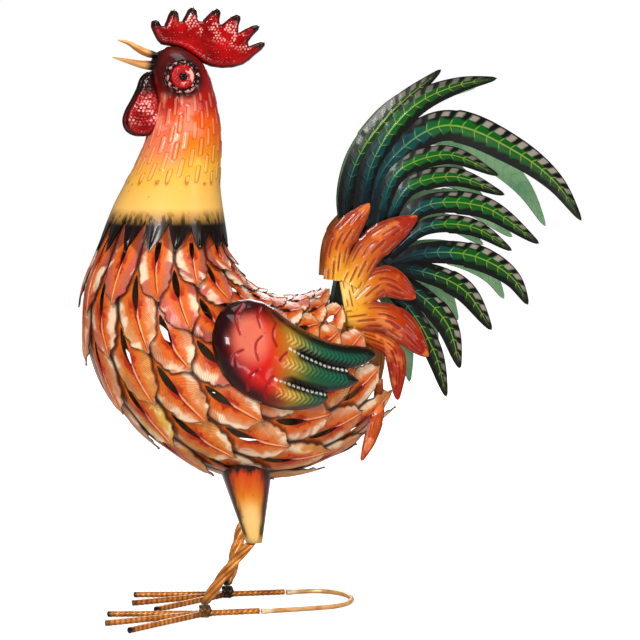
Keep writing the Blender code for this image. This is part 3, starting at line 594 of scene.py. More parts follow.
def plain_enamel(name, roughness, coat, scale, detail, *stops):
    """Finish of a hidden face."""
    paint = Paint(name, roughness=roughness, coat=coat)
    paint.ground(paint.noise(scale, detail), *stops)
    return paint.finish()


def neck_enamel():
    paint = Paint("neck_enamel", roughness=0.3, coat=0.8, coat_roughness=0.12)
    x, z = paint.x, paint.z
    stroke, eye_gap, beak_gap = paint.facts("stroke eye_gap beak_gap")
    wobble = paint.wobble(0.034, 34, 3)
    height = paint.add(z, paint.both(wobble, (z, 0.345, 0.385)))
    share = paint.node("MapRange", height, 0.318, 0.500).outputs[0]
    paint.ground(share, (0.0, 0.004, 0.0026, 0.002), (0.10, 0.006, 0.003, 0.002), (0.14, 0.40, 0.21, 0.05),
                 (0.18, 0.76, 0.42, 0.10), (0.38, 0.72, 0.35, 0.024), (0.48, 0.64, 0.15, 0.006),
                 (0.57, 0.66, 0.07, 0.004), (0.66, 0.38, 0.006, 0.003), (0.82, 0.20, 0.003, 0.003),
                 (0.92, 0.05, 0.004, 0.004))
    front = paint.add(x, paint.times(z, 0.36))
    paint.lay((0.74, 0.15, 0.10), 0.65, (front, 0.010, -0.012), (z, 0.455, 0.43), (z, 0.372, 0.402))
    # Painted highlight: pink patches on the front of the upper neck.
    paint.lay((0.84, 0.30, 0.20), 0.5, (paint.noise(52, 2), 0.48, 0.62), (z, 0.400, 0.42), (z, 0.462, 0.44),
              (front, 0.035, 0.020))
    paint.lay((0.26, 0.012, 0.005), 0.6, (stroke, 0.02, 0.3), (stroke, 0.62, 0.35))
    # Painted highlight: pale colour on the crests of the embossed strokes.
    paint.lay((0.90, 0.46, 0.22), 0.2, (stroke, 0.6, 0.9))
    paint.lay((0.014, 0.006, 0.004), 0.85, (paint.grain((260, 260, 22), 2), 0.50, 0.58), (z, 0.351, 0.339))
    paint.lay((0.030, 0.004, 0.004), 0.86, (eye_gap, 24.0, 16.0), (z, 0.438, 0.447))
    paint.lay((0.006, 0.003, 0.003), 1, (paint.add(beak_gap, paint.times(wobble, 200.0)), 17.0, 6.0))
    return paint.finish()


def comb_enamel():
    paint = Paint("comb_enamel", roughness=0.2, coat_roughness=0.05)
    edge, tip, pebble, glint, soot = paint.facts("edge tip pebble glint soot")
    wobble = paint.wobble(2.4, 150, 2)
    dark = paint.either((paint.add(edge, wobble), 2.6, 0.9), (paint.add(tip, wobble), 9.5, 5.5))
    paint.ground(paint.noise(45, 2), (0.35, 0.17, 0.0008, 0.001), (0.7, 0.46, 0.002, 0.003))
    paint.lay((0.10, 0.001, 0.002), 0.2, (pebble, 0.5, 0.05))
    paint.lay((0.95, 0.40, 0.34), 0.85, (pebble, 0.45, 0.8), (paint.noise(85, 2), 0.46, 0.54), glint)
    # Darker towards the wattle's top; the comb has none of it.
    paint.lay((0.005, 0.002, 0.002), 0.94, soot)
    paint.lay((0.007, 0.0026, 0.002), 0.95, dark)
    return paint.finish()


def eye_enamel():
    paint = Paint("eye_enamel", roughness=0.16, coat_roughness=0.04)
    ring, = paint.facts("ring")
    paint.ground(ring, (0.0, 0.002, 0.0016, 0.0016), (0.22, 0.003, 0.0016, 0.0016),
                 (0.27, 0.34, 0.002, 0.003), (0.66, 0.34, 0.002, 0.003), (0.74, 0.05, 0.002, 0.002),
                 (0.82, 0.008, 0.003, 0.003), (1.0, 0.006, 0.003, 0.003))
    glint = paint.both((paint.x, EYE_X - 0.003, EYE_X + 0.003), (paint.noise(210, 2), 0.44, 0.54),
                       (ring, 0.30, 0.36), (ring, 0.70, 0.60))
    # Painted highlight: pink glints dotted on the pebbled ring.
    bead = paint.both((ring, 0.70, 0.76), (paint.noise(330, 1), 0.57, 0.63))
    paint.lay((0.88, 0.42, 0.36), 1, paint.either(paint.times(glint, 0.85), paint.times(bead, 0.6)))
    return paint.finish()


def beak_enamel():
    paint = Paint("beak_enamel", roughness=0.42, coat=0.35, coat_roughness=0.2)
    reach, under = paint.facts("reach under")
    fibre = paint.grain((30, 260, 260), 4, 0.4)
    paint.ground(fibre, (0.3, 0.50, 0.20, 0.045), (0.7, 0.78, 0.42, 0.15))
    # Painted shade: darker on the faces of the mandibles that face each other across the mouth.
    paint.lay((0.40, 0.13, 0.015), 0.75, under)
    paint.lay((0.009, 0.004, 0.003), 1, (reach, 0.66, 0.80))
    return paint.finish(fibre, 0.15)


def wing_enamel():
    paint = Paint("wing_enamel", roughness=0.24, coat_roughness=0.06)
    edge, fold, upper, groove = paint.facts("edge fold upper groove")
    barb, bead, fade, blush = paint.facts("barb bead fade blush")
    wobble = paint.wobble(0.10, 55, 3)
    share = paint.add(fade, wobble)
    paint.ground(share, (0.0, 0.16, 0.002, 0.004), (0.14, 0.38, 0.003, 0.005), (0.24, 0.50, 0.008, 0.004),
                 (0.32, 0.44, 0.07, 0.004), (0.39, 0.36, 0.17, 0.014), (0.46, 0.12, 0.12, 0.012),
                 (0.54, 0.012, 0.07, 0.018), (0.68, 0.001, 0.065, 0.032), (1.0, 0.001, 0.03, 0.018))
    # Painted reflection: pink sheen over the middle of the wing's dome.
    paint.lay((0.70, 0.19, 0.11), 0.62, (blush, 22.0, 9.0), (share, 0.40, 0.30))
    depth = paint.add(edge, paint.times(wobble, 60.0))
    shoulder = paint.both((share, 0.5, 0.2), (depth, 17.0, 5.0))
    crease = paint.both((fold, 7.5, 3.5), (share, 0.32, 0.42))
    brow = paint.both((paint.add(upper, paint.times(wobble, 30.0)), 9.0, 4.5), (share, 0.20, 0.32))
    paint.lay((0.004, 0.0014, 0.002), 0.94, paint.either((depth, 7.0, 1.5), shoulder, crease, brow))
    paint.lay((0.24, 0.002, 0.004), 0.9, groove)
    gold = paint.step(share, 0.60, 0.40)
    paint.lay((0.76, 0.56, 0.16), 0.5, barb, gold)
    paint.lay((0.16, 0.44, 0.24), 0.12, barb, paint.math("SUBTRACT", 1.0, gold))
    # Painted highlight: near-white on the wing's beads, for their gloss.
    paint.lay((0.80, 0.80, 0.72), 0.85, bead)
    return paint.finish()


def feather_enamel():
    paint = Paint("feather_enamel", roughness=0.32, coat=0.4, coat_roughness=0.07)
    across, along, reach, shade, marked = paint.facts("across along reach shade marks")
    side = paint.math("ABSOLUTE", across)
    wobble = paint.wobble(0.3, 70, 3)
    paint.ground(paint.add(reach, wobble), (0.0, 0.003, 0.006, 0.007), (0.14, 0.001, 0.009, 0.014),
                 (0.34, 0.001, 0.042, 0.042), (0.48, 0.003, 0.085, 0.008), (0.72, 0.003, 0.062, 0.005),
                 (0.90, 0.010, 0.035, 0.006), (1.0, 0.010, 0.012, 0.006))
    paint.lay((0.004, 0.0045, 0.003), 1, shade)
    run = paint.scaled(side, -BARB_LEAN, along)
    zigzag = paint.times(paint.math("FRACT", paint.math("DIVIDE", run, BARB_PITCH)), 0.22)
    paint.lay((0.0026, 0.002, 0.0018), 0.97, (paint.add(paint.add(side, zigzag), wobble), 0.48, 0.66))
    vein = paint.step(side, 0.075, 0.03)
    barbs = paint.both(paint.bars(run, BARB_PITCH, 0.02, 0.10, 0.04), (side, 0.46, 0.30))
    vein_colour = paint.ramp(reach, (0.2, 0.01, 0.16, 0.17), (0.45, 0.16, 0.30, 0.02),
                             (1.0, 0.24, 0.29, 0.06))
    paint.lay(vein_colour, 0.8, paint.either(vein, barbs), (reach, 0.12, 0.4), (reach, 0.98, 0.88))
    ragged = paint.scaled(paint.noise(260, 2), 2.4, along)
    block = paint.bars(paint.scaled(across, -6.0, ragged), BARB_PITCH, 0.30, 0.80, 0.10)
    wide = paint.scaled(paint.step(reach, 0.40, 0.80), -0.32, 0.60)
    upper = paint.both((paint.math("SUBTRACT", across, wide), 0.0, 0.06), (across, 0.94, 0.84))
    marks = paint.both(block, upper, (reach, 0.36, 0.48), (reach, 0.97, 0.86), marked)
    paint.lay((0.27, 0.23, 0.18), 0.85, marks)
    return paint.finish(paint.either(vein, barbs, marks), 0.25)


def feather_underside():
    paint = Paint("feather_underside", roughness=0.35, coat=0.4, coat_roughness=0.15)
    across, along, reach = paint.facts("across along reach")
    run = paint.scaled(paint.math("ABSOLUTE", across), -BARB_LEAN, along)
    paint.ground(paint.noise(40, 3), (0.3, 0.10, 0.25, 0.12), (0.7, 0.24, 0.38, 0.20))
    paint.lay((0.07, 0.18, 0.08), 0.4, paint.bars(run, BARB_PITCH, 0.02, 0.14, 0.06))
    paint.lay((0.02, 0.03, 0.022), 0.9, (reach, 0.45, 0.05))
    return paint.finish()


def flame_enamel():
    paint = Paint("flame_enamel", roughness=0.25, coat=0.9, coat_roughness=0.07)
    across, reach, root_gap, cut = paint.facts("across reach root_gap cut")
    side = paint.math("ABSOLUTE", across)
    wobble = paint.wobble(0.5, 48, 3)
    share = paint.math("DIVIDE", paint.scaled(wobble, 26.0, root_gap), 90.0)
    paint.ground(share, (0.0, 0.88, 0.58, 0.16), (0.13, 0.68, 0.31, 0.02), (0.28, 0.50, 0.11, 0.004),
                 (0.48, 0.36, 0.035, 0.002), (0.74, 0.28, 0.012, 0.002), (1.0, 0.16, 0.004, 0.002))
    # Painted highlight: streaks of sheen across the middle of the flame feathers.
    paint.lay((0.84, 0.26, 0.06), 0.4, (paint.noise(62, 2), 0.52, 0.62), (share, 0.26, 0.42))
    paint.lay((0.18, 0.009, 0.002), 0.85, (paint.add(side, wobble), 0.50, 0.88), (share, 0.10, 0.34))
    paint.lay((0.16, 0.012, 0.003), 0.85, cut)
    paint.lay((0.20, 0.06, 0.01), 0.5, (side, 0.88, 1.0), (reach, 0.45, 0.7))
    return paint.finish()


def thigh_enamel():
    paint = Paint("thigh_enamel", roughness=0.26, coat=0.8)
    rise, facing = paint.facts("rise facing")
    wobble = paint.scaled(paint.grain((190, 190, 40), 3, 0.3), 0.26, -0.13)
    paint.ground(paint.add(rise, wobble), (0.0, 0.45, 0.28, 0.10), (0.08, 0.70, 0.36, 0.07),
                 (0.30, 0.74, 0.42, 0.12), (0.52, 0.66, 0.24, 0.02), (0.72, 0.56, 0.10, 0.005),
                 (0.88, 0.52, 0.045, 0.005), (0.96, 0.014, 0.004, 0.003))
    # Painted light: a pale stripe down the side of the thigh that faces the light.
    paint.lay((0.82, 0.52, 0.19), 0.6, (facing, 0.90, 0.99), (rise, 0.62, 0.40), (rise, 0.0, 0.12))
    # Painted shade: dark on the thigh's sides turned away from the light.
    paint.lay((0.014, 0.004, 0.003), 0.94, (paint.add(facing, wobble), 0.95, 0.80), (rise, 0.02, 0.14))
    paint.lay((0.30, 0.19, 0.07), 0.8, (rise, 0.035, 0.0))
    return paint.finish()


def copper_enamel(name, dark):
    paint = Paint(name, roughness=0.34, metallic=0.35, coat=0.6, coat_roughness=0.15)
    groove, burnt = paint.facts("groove burnt")
    paint.ground(paint.noise(120, 4), (0.3, 0.42, 0.12, 0.018), (0.72, 0.84, 0.33, 0.06))
    paint.lay((0.13, 0.035, 0.012), 0.6, groove)
    stain = paint.scaled(paint.step(paint.noise(26, 3), 0.60, 0.42), 0.5, 0.6)
    paint.lay((0.009, 0.004, 0.003), 1, paint.math("MINIMUM", paint.times(burnt, stain), 1.0))
    paint.colour = paint.mix(dark, paint.colour, (0.009, 0.005, 0.004))
    return paint.finish()


def wire_enamel():
    paint = Paint("wire_enamel", roughness=0.36, metallic=0.35, coat=0.5, coat_roughness=0.18)
    weld, = paint.facts("weld")
    paint.ground(paint.noise(110, 4), (0.3, 0.48, 0.20, 0.055), (0.7, 0.80, 0.46, 0.19))
    paint.lay((0.80, 0.62, 0.42), 0.9, weld)
    return paint.finish(paint.noise(400, 3), 0.1)


# Pieces.

LEAF_WIDTHS = ((-0.75, 0.72), (-0.5, 0.93), (-0.2, 0.97), (0.3, 0.98), (0.50, 0.97), (0.58, 0.90),
               (0.66, 0.80), (0.73, 0.82), (0.80, 0.80), (0.86, 0.68), (0.92, 0.64), (0.98, 0.62),
               (1.03, 0.46), (1.08, 0.27), (1.15, 0.15), (1.24, 0.012))
LEAF_LIFTS = ((-0.75, -0.8, -1.2), (-0.26, 0.3, -0.1), (0.05, 1.9, 0.0), (0.38, 2.7, 0.4),
              (0.68, 4.0, 2.2), (0.97, 5.4, 4.2), (1.24, 6.5, 6.0))
LEAF_START, LEAF_END = -0.75, 1.24
SLOT_MIDDLE, SLOT_HALF_LENGTH, SLOT_HALF_WIDTH = 0.05, 0.42, 0.17
VEIN_HALF = 0.018
ROW_SPAN, HALF_LEAF_SPAN = 36, 21  # a leaf's row and half width in mm, for distances on it
COLLAR_START, COLLAR_END = -7.5, -2.0
TOOTH_ROOT, TOOTH_TIP = (-9.5, 3.4), (1.2, 2.7)  # angle on the body's sweep, and lift off it
NECK_DASH_LINES, NECK_DASH_PITCH, DASH_STAGGER = 30, 23, 0.382
BEAK_ROOT = (-150.0, 0.0, 476.0)


def build_leaves(materials):
    """Shingled leaves of the body, each a pleated plate with a lens-shaped slot."""
    across, along = 24, 34
    band = 2 / across
    model, u, v = sheet_of_quads("leaf", across, along)
    v = v * (1.5 - 0.5 * v)
    row = LEAF_START + (LEAF_END - LEAF_START) * v
    width = eased(LEAF_WIDTHS, row)[..., 0]
    share = np.clip(1 - ((row - SLOT_MIDDLE) / SLOT_HALF_LENGTH)**2, 0, 1)
    slot = np.maximum(SLOT_HALF_WIDTH * share, np.minimum(VEIN_HALF, width * 0.3))
    size = np.abs(u)
    outer = slot + (size - band) / (1 - band) * (width - slot)
    column = np.sign(u) * np.where(size > band * 0.99, outer, size / band * slot)
    with loose_mesh(model) as form:
        holes = [f for f in form.faces
                 if all(abs(u[w.index]) < band * 1.01 for w in f.verts)
                 and abs(np.mean([row[w.index] for w in f.verts]) - SLOT_MIDDLE) < SLOT_HALF_LENGTH]
        bmesh.ops.delete(form, geom=holes, context="FACES_ONLY")
    lifts = eased(LEAF_LIFTS, row)
    beyond = np.maximum(np.abs(row - SLOT_MIDDLE) - SLOT_HALF_LENGTH, 0) * ROW_SPAN
    beside = np.maximum(np.abs(column) - SLOT_HALF_WIDTH * share, 0) * HALF_LEAF_SPAN
    slit = np.hypot(beside, beyond * (row < SLOT_MIDDLE)) + beyond * (row > SLOT_MIDDLE) * 0.28
    # Margin in mm from the edge of the leaf in the row above; the finish paints a shadow along it.
    above = eased(LEAF_WIDTHS, row + 1)[..., 0] * (row + 1 < LEAF_END)
    cover = (1 - above - np.abs(column)) * HALF_LEAF_SPAN
    dice = np.random.default_rng(7)
    bands = ("leaves_breast", -1, 3), ("leaves_flank", 3, 5), ("leaves_belly", 5, LEAF_ROWS)
    for name, first, last in bands:
        made = []
        for ring in range(first, last):
            for leaf in range(LEAVES_ROUND):
                middle = (2 * leaf + ring) % (2 * LEAVES_ROUND)
                luck = dice.uniform(-1, 1, 8)
                piece = twin(model)
                free = smooth_step(row, 0.45, 1.2)
                scallop = 0.07 * np.sin(np.sign(u) * 2 + row * 19 + luck[0] * 9) * free * size**2
                scallop += 0.04 * np.sin(np.sign(u) * 5 + row * 37 + luck[5] * 9) * free * size**4
                place_row = row + 0.10 * luck[1] * free + 0.08 * luck[2] * column * free
                place_column = middle + column * (1 + scallop) + 0.16 * luck[3] * free * (1 - size * 0.5)
                angle = FIRST_ROW_ANGLE + ROW_PITCH * (ring + place_row)
                turn = math.pi * place_column / LEAVES_ROUND
                reach = np.linalg.norm(body_point(angle, turn) - np.array((PIVOT_X, 0, PIVOT_Z)), axis=1)
                lift = lifts[:, 0] + (lifts[:, 1] - lifts[:, 0]) * column**2
                scale = np.where(lift > 0, np.minimum(1, reach / 130) * (1 + 0.30 * luck[4] * free), 1)
                pleat = 0.35 * np.sin((row - 0.3 * size) * 26 + luck[5]) * free * size
                vein = 0.45 * (size < band * 0.5) * smooth_step(row, 0.42, 0.6)
                shape(piece, body_point(angle, turn, lift * scale + pleat + vein))
                belly = math.cos(math.pi * middle / LEAVES_ROUND)
                yellow = smooth_step(belly, 0.25, 0.75) * smooth_step(ring, 0.0, 2.0)
                tint = (0.40 + 0.30 * luck[6]) * (1 - yellow) + (0.80 + 0.19 * luck[7]) * yellow
                if ring < 0:
                    tint = 0.16 + 0.12 * luck[6]
                if belly < -0.2 and ring < 4:
                    tint *= 0.25
                tag(piece, tint=tint, across=column / np.maximum(width, 0.02), reach=v, slit=slit,
                    cover=cover)
                made.append(piece)
        settle(join(name, made), materials, "body_shell", 50, LEAF_SHEET)
    bpy.data.objects.remove(model)
    collar, u, v = sheet_of_quads("body_collar", 96, 8)
    shape(collar, body_point(COLLAR_START + (COLLAR_END - COLLAR_START) * v, math.pi * u, -1.2))
    tag(collar, tint=0.35, across=0.3, reach=0.5, slit=9.0, cover=0.0)
    close_seams(collar)
    settle(collar, materials, "body_shell", sheet=LEAF_SHEET)


def build_neck(materials):
    """Neck and head in one drawn form, with embossed strokes and a rim of long teeth."""
    gore, along = 12, 170
    rings = []
    around = gore * TEETH
    turns = 2 * math.pi * np.arange(around) / around
    for front_x, front_z, back_x, back_z, half_width in reversed(NECK_RINGS):
        x = (front_x + back_x) / 2 + (front_x - back_x) / 2 * np.cos(turns)
        z = (front_z + back_z) / 2 + (front_z - back_z) / 2 * np.cos(turns)
        rings.append(np.column_stack([x, half_width * np.sin(turns), z]))
    for angle, lift in (TOOTH_ROOT, TOOTH_TIP):
        rings.append(body_point(angle, turns, lift))
    rings = np.array(rings)
    steps = np.linalg.norm(np.diff(rings, axis=0), axis=2).mean(axis=1)
    keys = np.concatenate([[0], np.cumsum(steps)])
    keys /= keys[-1]
    split = keys[-2]
    table = [(key, *ring.ravel()) for key, ring in zip(keys, rings)]
    made = []
    for tooth in range(TEETH):
        piece, u, v = sheet_of_quads("gore", gore, along)
        fall = np.clip((v - split) / (1 - split), 0, 1)
        narrow = np.where(v > split, 1 - 0.97 * fall**1.25, 1.0)
        column = (tooth - 0.5 + (u * narrow + 1) / 2) * gore
        low = np.floor(column).astype(int)
        part = column - low
        table_points = eased(table, v).reshape(len(v), around, 3)
        rows = np.arange(len(v))
        points = table_points[rows, low % around] * (1 - part)[:, None]
        points += table_points[rows, (low + 1) % around] * part[:, None]
        turn = 2 * math.pi * column / around
        run = turn / (2 * math.pi) * NECK_DASH_LINES
        line = np.round(run)
        z = points[:, 2]
        shift = (line * DASH_STAGGER) % 1 * NECK_DASH_PITCH
        off = np.abs((z + shift) % NECK_DASH_PITCH - NECK_DASH_PITCH / 2)
        spread = 5.9 * np.clip(1 + (400 - z) / 260, 0.8, 1.4)
        gap = np.hypot((run - line) * spread, np.maximum(off - 6.2, 0))
        zone = smooth_step(z, 366, 380) * smooth_step(z, 452, 446)
        stroke = smooth_step(gap, 1.9, 0.7) * zone
        normal = np.column_stack([np.cos(turn) * -0.9, np.sin(turn), np.zeros(len(turn))])
        crease = 0.9 * smooth_step(np.abs(u), 0.35, 0.0) * fall
        points += normal * (0.65 * stroke + crease - 0.5)[:, None]
        shape(piece, points)
        eye = np.hypot(points[:, 0] - EYE_CENTRE[0], points[:, 2] - EYE_CENTRE[1])
        tag(piece, stroke=stroke, eye_gap=eye + 30 * (np.abs(points[:, 1]) < 6),
            beak_gap=np.linalg.norm(points - np.array(BEAK_ROOT), axis=1) - 3)
        made.append(piece)
    neck = join("neck_form", made)
    close_seams(neck, 0.00003, outwards=False)
    with loose_mesh(neck) as form:
        top = max(v.co.z for v in form.verts)
        edges = [e for e in form.edges if e.is_boundary and all(w.co.z > top - 0.002 for w in e.verts)]
        bmesh.ops.holes_fill(form, edges=edges)
    settle(neck, materials, "neck_head", sheet=SHELL_SHEET)


def build_puffed(name, outline, pitch, middle, height, seed, pebble_pitch, pebble_height, facts, material):
    """Hollow-looking cushion of sheet: two pebbled faces that meet at a rounded rim."""
    front, flat, rim = cut_sheet(name, outline, pitch)
    depth, _, _ = distance_to(flat, outline, closed=True)
    depth[rim] = 0
    bumps = pebbles(flat, pebble_pitch, seed) * smooth_step(depth, 0.8, 3.0)
    half = height(depth) + pebble_height * bumps
    half[rim] = 0
    tag(front, edge=depth, pebble=bumps, tip=tip_depth(flat, outline), **facts(*flat.T))
    back = twin(front)
    for face, side in ((front, LEFT), (back, RIGHT)):
        shape(face, np.column_stack([flat[:, 0], middle + side * half, flat[:, 1]]))
    back.data.flip_normals()
    whole = join(name, [front, back])
    close_seams(whole)
    settle(whole, (material,), name.replace("_form", ""), 60)


def rounded(outline):
    """Closed outline with its corners drawn out into a smooth curve."""
    table, length = keyed((*outline[-3:], *outline, *outline[:3]))
    first, last = table[3, 0], table[-3, 0]
    count = OUTLINE_STEPS * len(outline)
    return eased(table, first + (last - first) * np.arange(count) / count)


def tip_depth(flat, outline):
    """Distance to the nearest of the highest points of an outline, where it has spikes."""
    outline = np.array(outline)
    before, after = np.roll(outline, 1, axis=0), np.roll(outline, -1, axis=0)
    peaks = outline[(outline[:, 1] >= before[:, 1]) & (outline[:, 1] > after[:, 1])]
    return np.min([np.hypot(*(flat - peak).T) for peak in peaks], axis=0)


def build_comb(material):
    def facts(x, z):
        return {"glint": smooth_step(0.35 * x + z, 456, 466) * smooth_step(x, -135, -112), "soot": 0.0}

    build_puffed("comb_form", COMB_OUTLINE, 0.8, 0.0, lambda d: 4.2 * round_off(d, 6.5), 3, 2.7, 0.4,
                 facts, material)


def build_wattles(material):
    def facts(x, z):
        # The wattle darkens towards its top.
        return {"glint": smooth_step(z, 418, 428) * smooth_step(z, 462, 440),
                "soot": smooth_step(z, 440, 452)}

    for side, word in SIDES:
        build_puffed(f"wattle_{word}_form", rounded(WATTLE_OUTLINE), 0.7, side * 7.5,
                     lambda d: 2.9 * round_off(d, 6.0) - 0.5 * smooth_step(d, 4.0, 8.0), 5, 3.2, 0.5,
                     facts, material)


def tube(name, around, along, place):
    """Tube whose skin is place(turn, v), closed along its seam and at both ends."""
    piece, u, v = sheet_of_quads(name, around, along)
    shape(piece, place(math.pi * u, v))
    return piece, math.pi * u, v


def build_eyes(material):
    profile = ((0.0, 28.2), (0.12, 28.1), (0.21, 27.3), (0.25, 26.7), (0.4, 26.9), (0.62, 26.3),
               (0.72, 25.2), (0.76, 24.6), (0.82, 25.3), (0.88, 25.9), (0.95, 25.2), (1.0, 23.2),
               (1.01, 18.0))
    for side, word in SIDES:
        eye, u, v = sheet_of_quads(f"eye_{word}_form", 96, 60)
        turn, radius = math.pi * u, v * profile[-1][0]
        lobes = 0.5 + 0.5 * np.cos(12 * turn)
        reach = eased(profile, radius)[:, 0] + 0.7 * lobes * smooth_step(radius, 0.76, 0.86) * (radius < 0.98)
        size = EYE_RADIUS * radius * (1 + 0.03 * lobes * smooth_step(radius, 0.8, 1.0))
        flat = np.column_stack([size * np.cos(turn), size * np.sin(turn)])
        iris = smooth_step(radius, 0.24, 0.34) * smooth_step(radius, 0.74, 0.62)
        reach = reach + 0.5 * pebbles(flat, 2.5, 11) * iris
        shape(eye, np.column_stack([EYE_CENTRE[0] + flat[:, 0], side * reach, EYE_CENTRE[1] + flat[:, 1]]))
        tag(eye, ring=radius)
        if side == LEFT:
            eye.data.flip_normals()
        close_seams(eye)
        settle(eye, (material,), "eye_" + word)


def build_beaks(material):
    for name, rows, up_side in (("beak_upper", UPPER_BEAK, 1), ("beak_lower", LOWER_BEAK, -1)):
        def place(turn, v):
            x = rows[0][0] + (rows[-1][0] - rows[0][0]) * v**1.15
            top, underside, width = np.moveaxis(eased(rows, x), -1, 0)
            blunt = np.minimum(1, v * 40)
            up = np.cos(turn)
            half = (top - underside) / 2 * blunt * np.where(up * up_side < 0, 0.75, 1.0)
            return np.column_stack([x, width * blunt * np.sin(turn) * (1 - 0.25 * np.abs(up)),
                                    (top + underside) / 2 + half * up])

        beak, turn, v = tube(name + "_form", 40, 48, place)
        tag(beak, reach=v, under=smooth_step(np.cos(turn) * -up_side, -0.1, 0.5))
        close_seams(beak)
        settle(beak, (material,), name, 50)


def posed(midrib, side, tip_shift=(0, 0)):
    """Midrib as it is on the left, or turned and shifted a little for the right side."""
    if side == LEFT:
        return midrib
    a = math.radians(FAR_TAIL_TURN)
    moved = []
    for i, (x, z) in enumerate(midrib):
        dx, dz, share = x - FEATHER_PIVOT[0], z - FEATHER_PIVOT[1], i / (len(midrib) - 1)
        turned_x, turned_z = dx * math.cos(a) - dz * math.sin(a), dx * math.sin(a) + dz * math.cos(a)
        moved.append((FEATHER_PIVOT[0] + turned_x + FAR_TAIL_SHIFT + tip_shift[0] * share,
                      FEATHER_PIVOT[1] + turned_z + tip_shift[1] * share))
    return moved


def tail_surface(x, z):
    return 8.0 + 0.20 * np.maximum(x, 0)


def flame_surface(x, z):
    return tail_surface(x, z) + SHEET + RIDGE + FEATHER_STEP * 4 + GAP + 4.0 * smooth_step(290.0 - z, 0, 70)


def build_blade(name, midrib, half_width, surface, side, lift, root_share, across, pitch, relief):
    """Feather of folded sheet along a midrib, with relief(run, across, reach) pressed into it."""
    table, length = keyed(midrib)
    piece, u, v = sheet_of_quads(name, across, max(12, round(length / pitch)))
    spread = np.sign(u) * np.abs(u)**1.25
    centre, ahead = along_curve(table, length, v, 0.02)
    sideways = np.column_stack([-ahead[:, 1], ahead[:, 0]])
    late = half_width * np.abs(np.cos(math.pi * (v - 0.5)))**0.75
    late = late + 0.9 * np.sqrt(np.clip((1 - v) / 0.02, 0, 1))
    early = half_width * (root_share + (1 - root_share) * np.sin(math.pi * v))
    width = np.maximum(np.where(v < 0.5, early, late), 0.05)
    x, z = (centre + sideways * (width * spread)[:, None]).T
    fold = RIDGE * np.minimum(width / half_width, 1) * (1 - np.abs(spread)**1.15)
    pressed = relief(v * length, spread, v)
    height = lift + fold + pressed * np.minimum(1, width / half_width)
    shape(piece, np.column_stack([x, side * (surface(x, z) + height + SHEET), z]))
    tag(piece, across=spread, along=v * length, reach=v)
    if side == LEFT:
        piece.data.flip_normals()
    return piece, x, z, pressed


def barb_relief(s, u, v):
    run = (s - BARB_LEAN * np.abs(u)) / BARB_PITCH % 1
    step = np.where(run < 0.12, run / 0.12, (1 - run) / 0.88)
    return 0.35 * step * np.minimum(1, np.abs(u) * 4) * (1 - np.abs(u)) + 0.3 * (np.abs(u) < 0.08)


def dash_relief(s, u, v):
    line = np.round(u * DASH_LINES + 0.5) - 0.5
    gap = np.abs(u * DASH_LINES - line)
    off = np.abs((s + (line * 7.3) % DASH_PITCH) % DASH_PITCH - DASH_PITCH / 2)
    return (-DASH_DEPTH * smooth_step(gap, 0.25, 0.08) * smooth_step(off, 9.0, 7.0)
            * smooth_step(v, 0.96, 0.86))


def build_tail(materials):
    for side, word in SIDES:
        made = []
        for i, (midrib, half_width) in enumerate((TAIL_ROOT, *TAIL_FEATHERS)):
            shift = FAR_TIP_SHIFTS[i - 1] if i else (0, 0)
            piece, *_ = build_blade("feather", posed(midrib, side, shift), half_width, tail_surface, side,
                                    FEATHER_STEP * (i * 2 % 5), 0.6, 14, 2.0, barb_relief)
            tag(piece, shade=TAIL_SHADES[i], marks=TAIL_MARKS[i])
            made.append(piece)
        settle(join(f"tail_{word}_form", made), materials, "tail_plate_" + word, 35,
               PLATE_SHEET)


def build_flames(materials):
    for side, word in SIDES:
        made = []
        for i, (midrib, half_width) in enumerate((FLAME_ROOT, *FLAME_FEATHERS)):
            piece, x, z, pressed = build_blade("flame", posed(midrib, side), half_width, flame_surface, side,
                                               FEATHER_STEP * (i * 2 % 5), 0.85, 26, 1.4, dash_relief)
            tag(piece, root_gap=np.hypot(x - 16, (z - 272) * 0.6), cut=-pressed / DASH_DEPTH)
            made.append(piece)
        settle(join(f"flame_{word}_form", made), materials, "saddle_flame_" + word, 35,
               PLATE_SHEET)
        midrib, half_width = TUFT_FEATHER
        tuft, *_ = build_blade(f"tuft_{word}_form", midrib, half_width,
                               lambda x, z: TUFT_Y - 10 * smooth_step(z, 166, 196), side, 0.0, 0.5, 16, 1.2,
                               dash_relief)
        tag(tuft, root_gap=40.0, cut=0.0)
        settle(tuft, materials, "tail_tuft_" + word, 35, PLATE_SHEET)


def wing_surface(x, z):
    return np.maximum(body_half_width(x, z, LEAF_TIP_RISE + GAP), 62 - 0.25 * (x + 30))


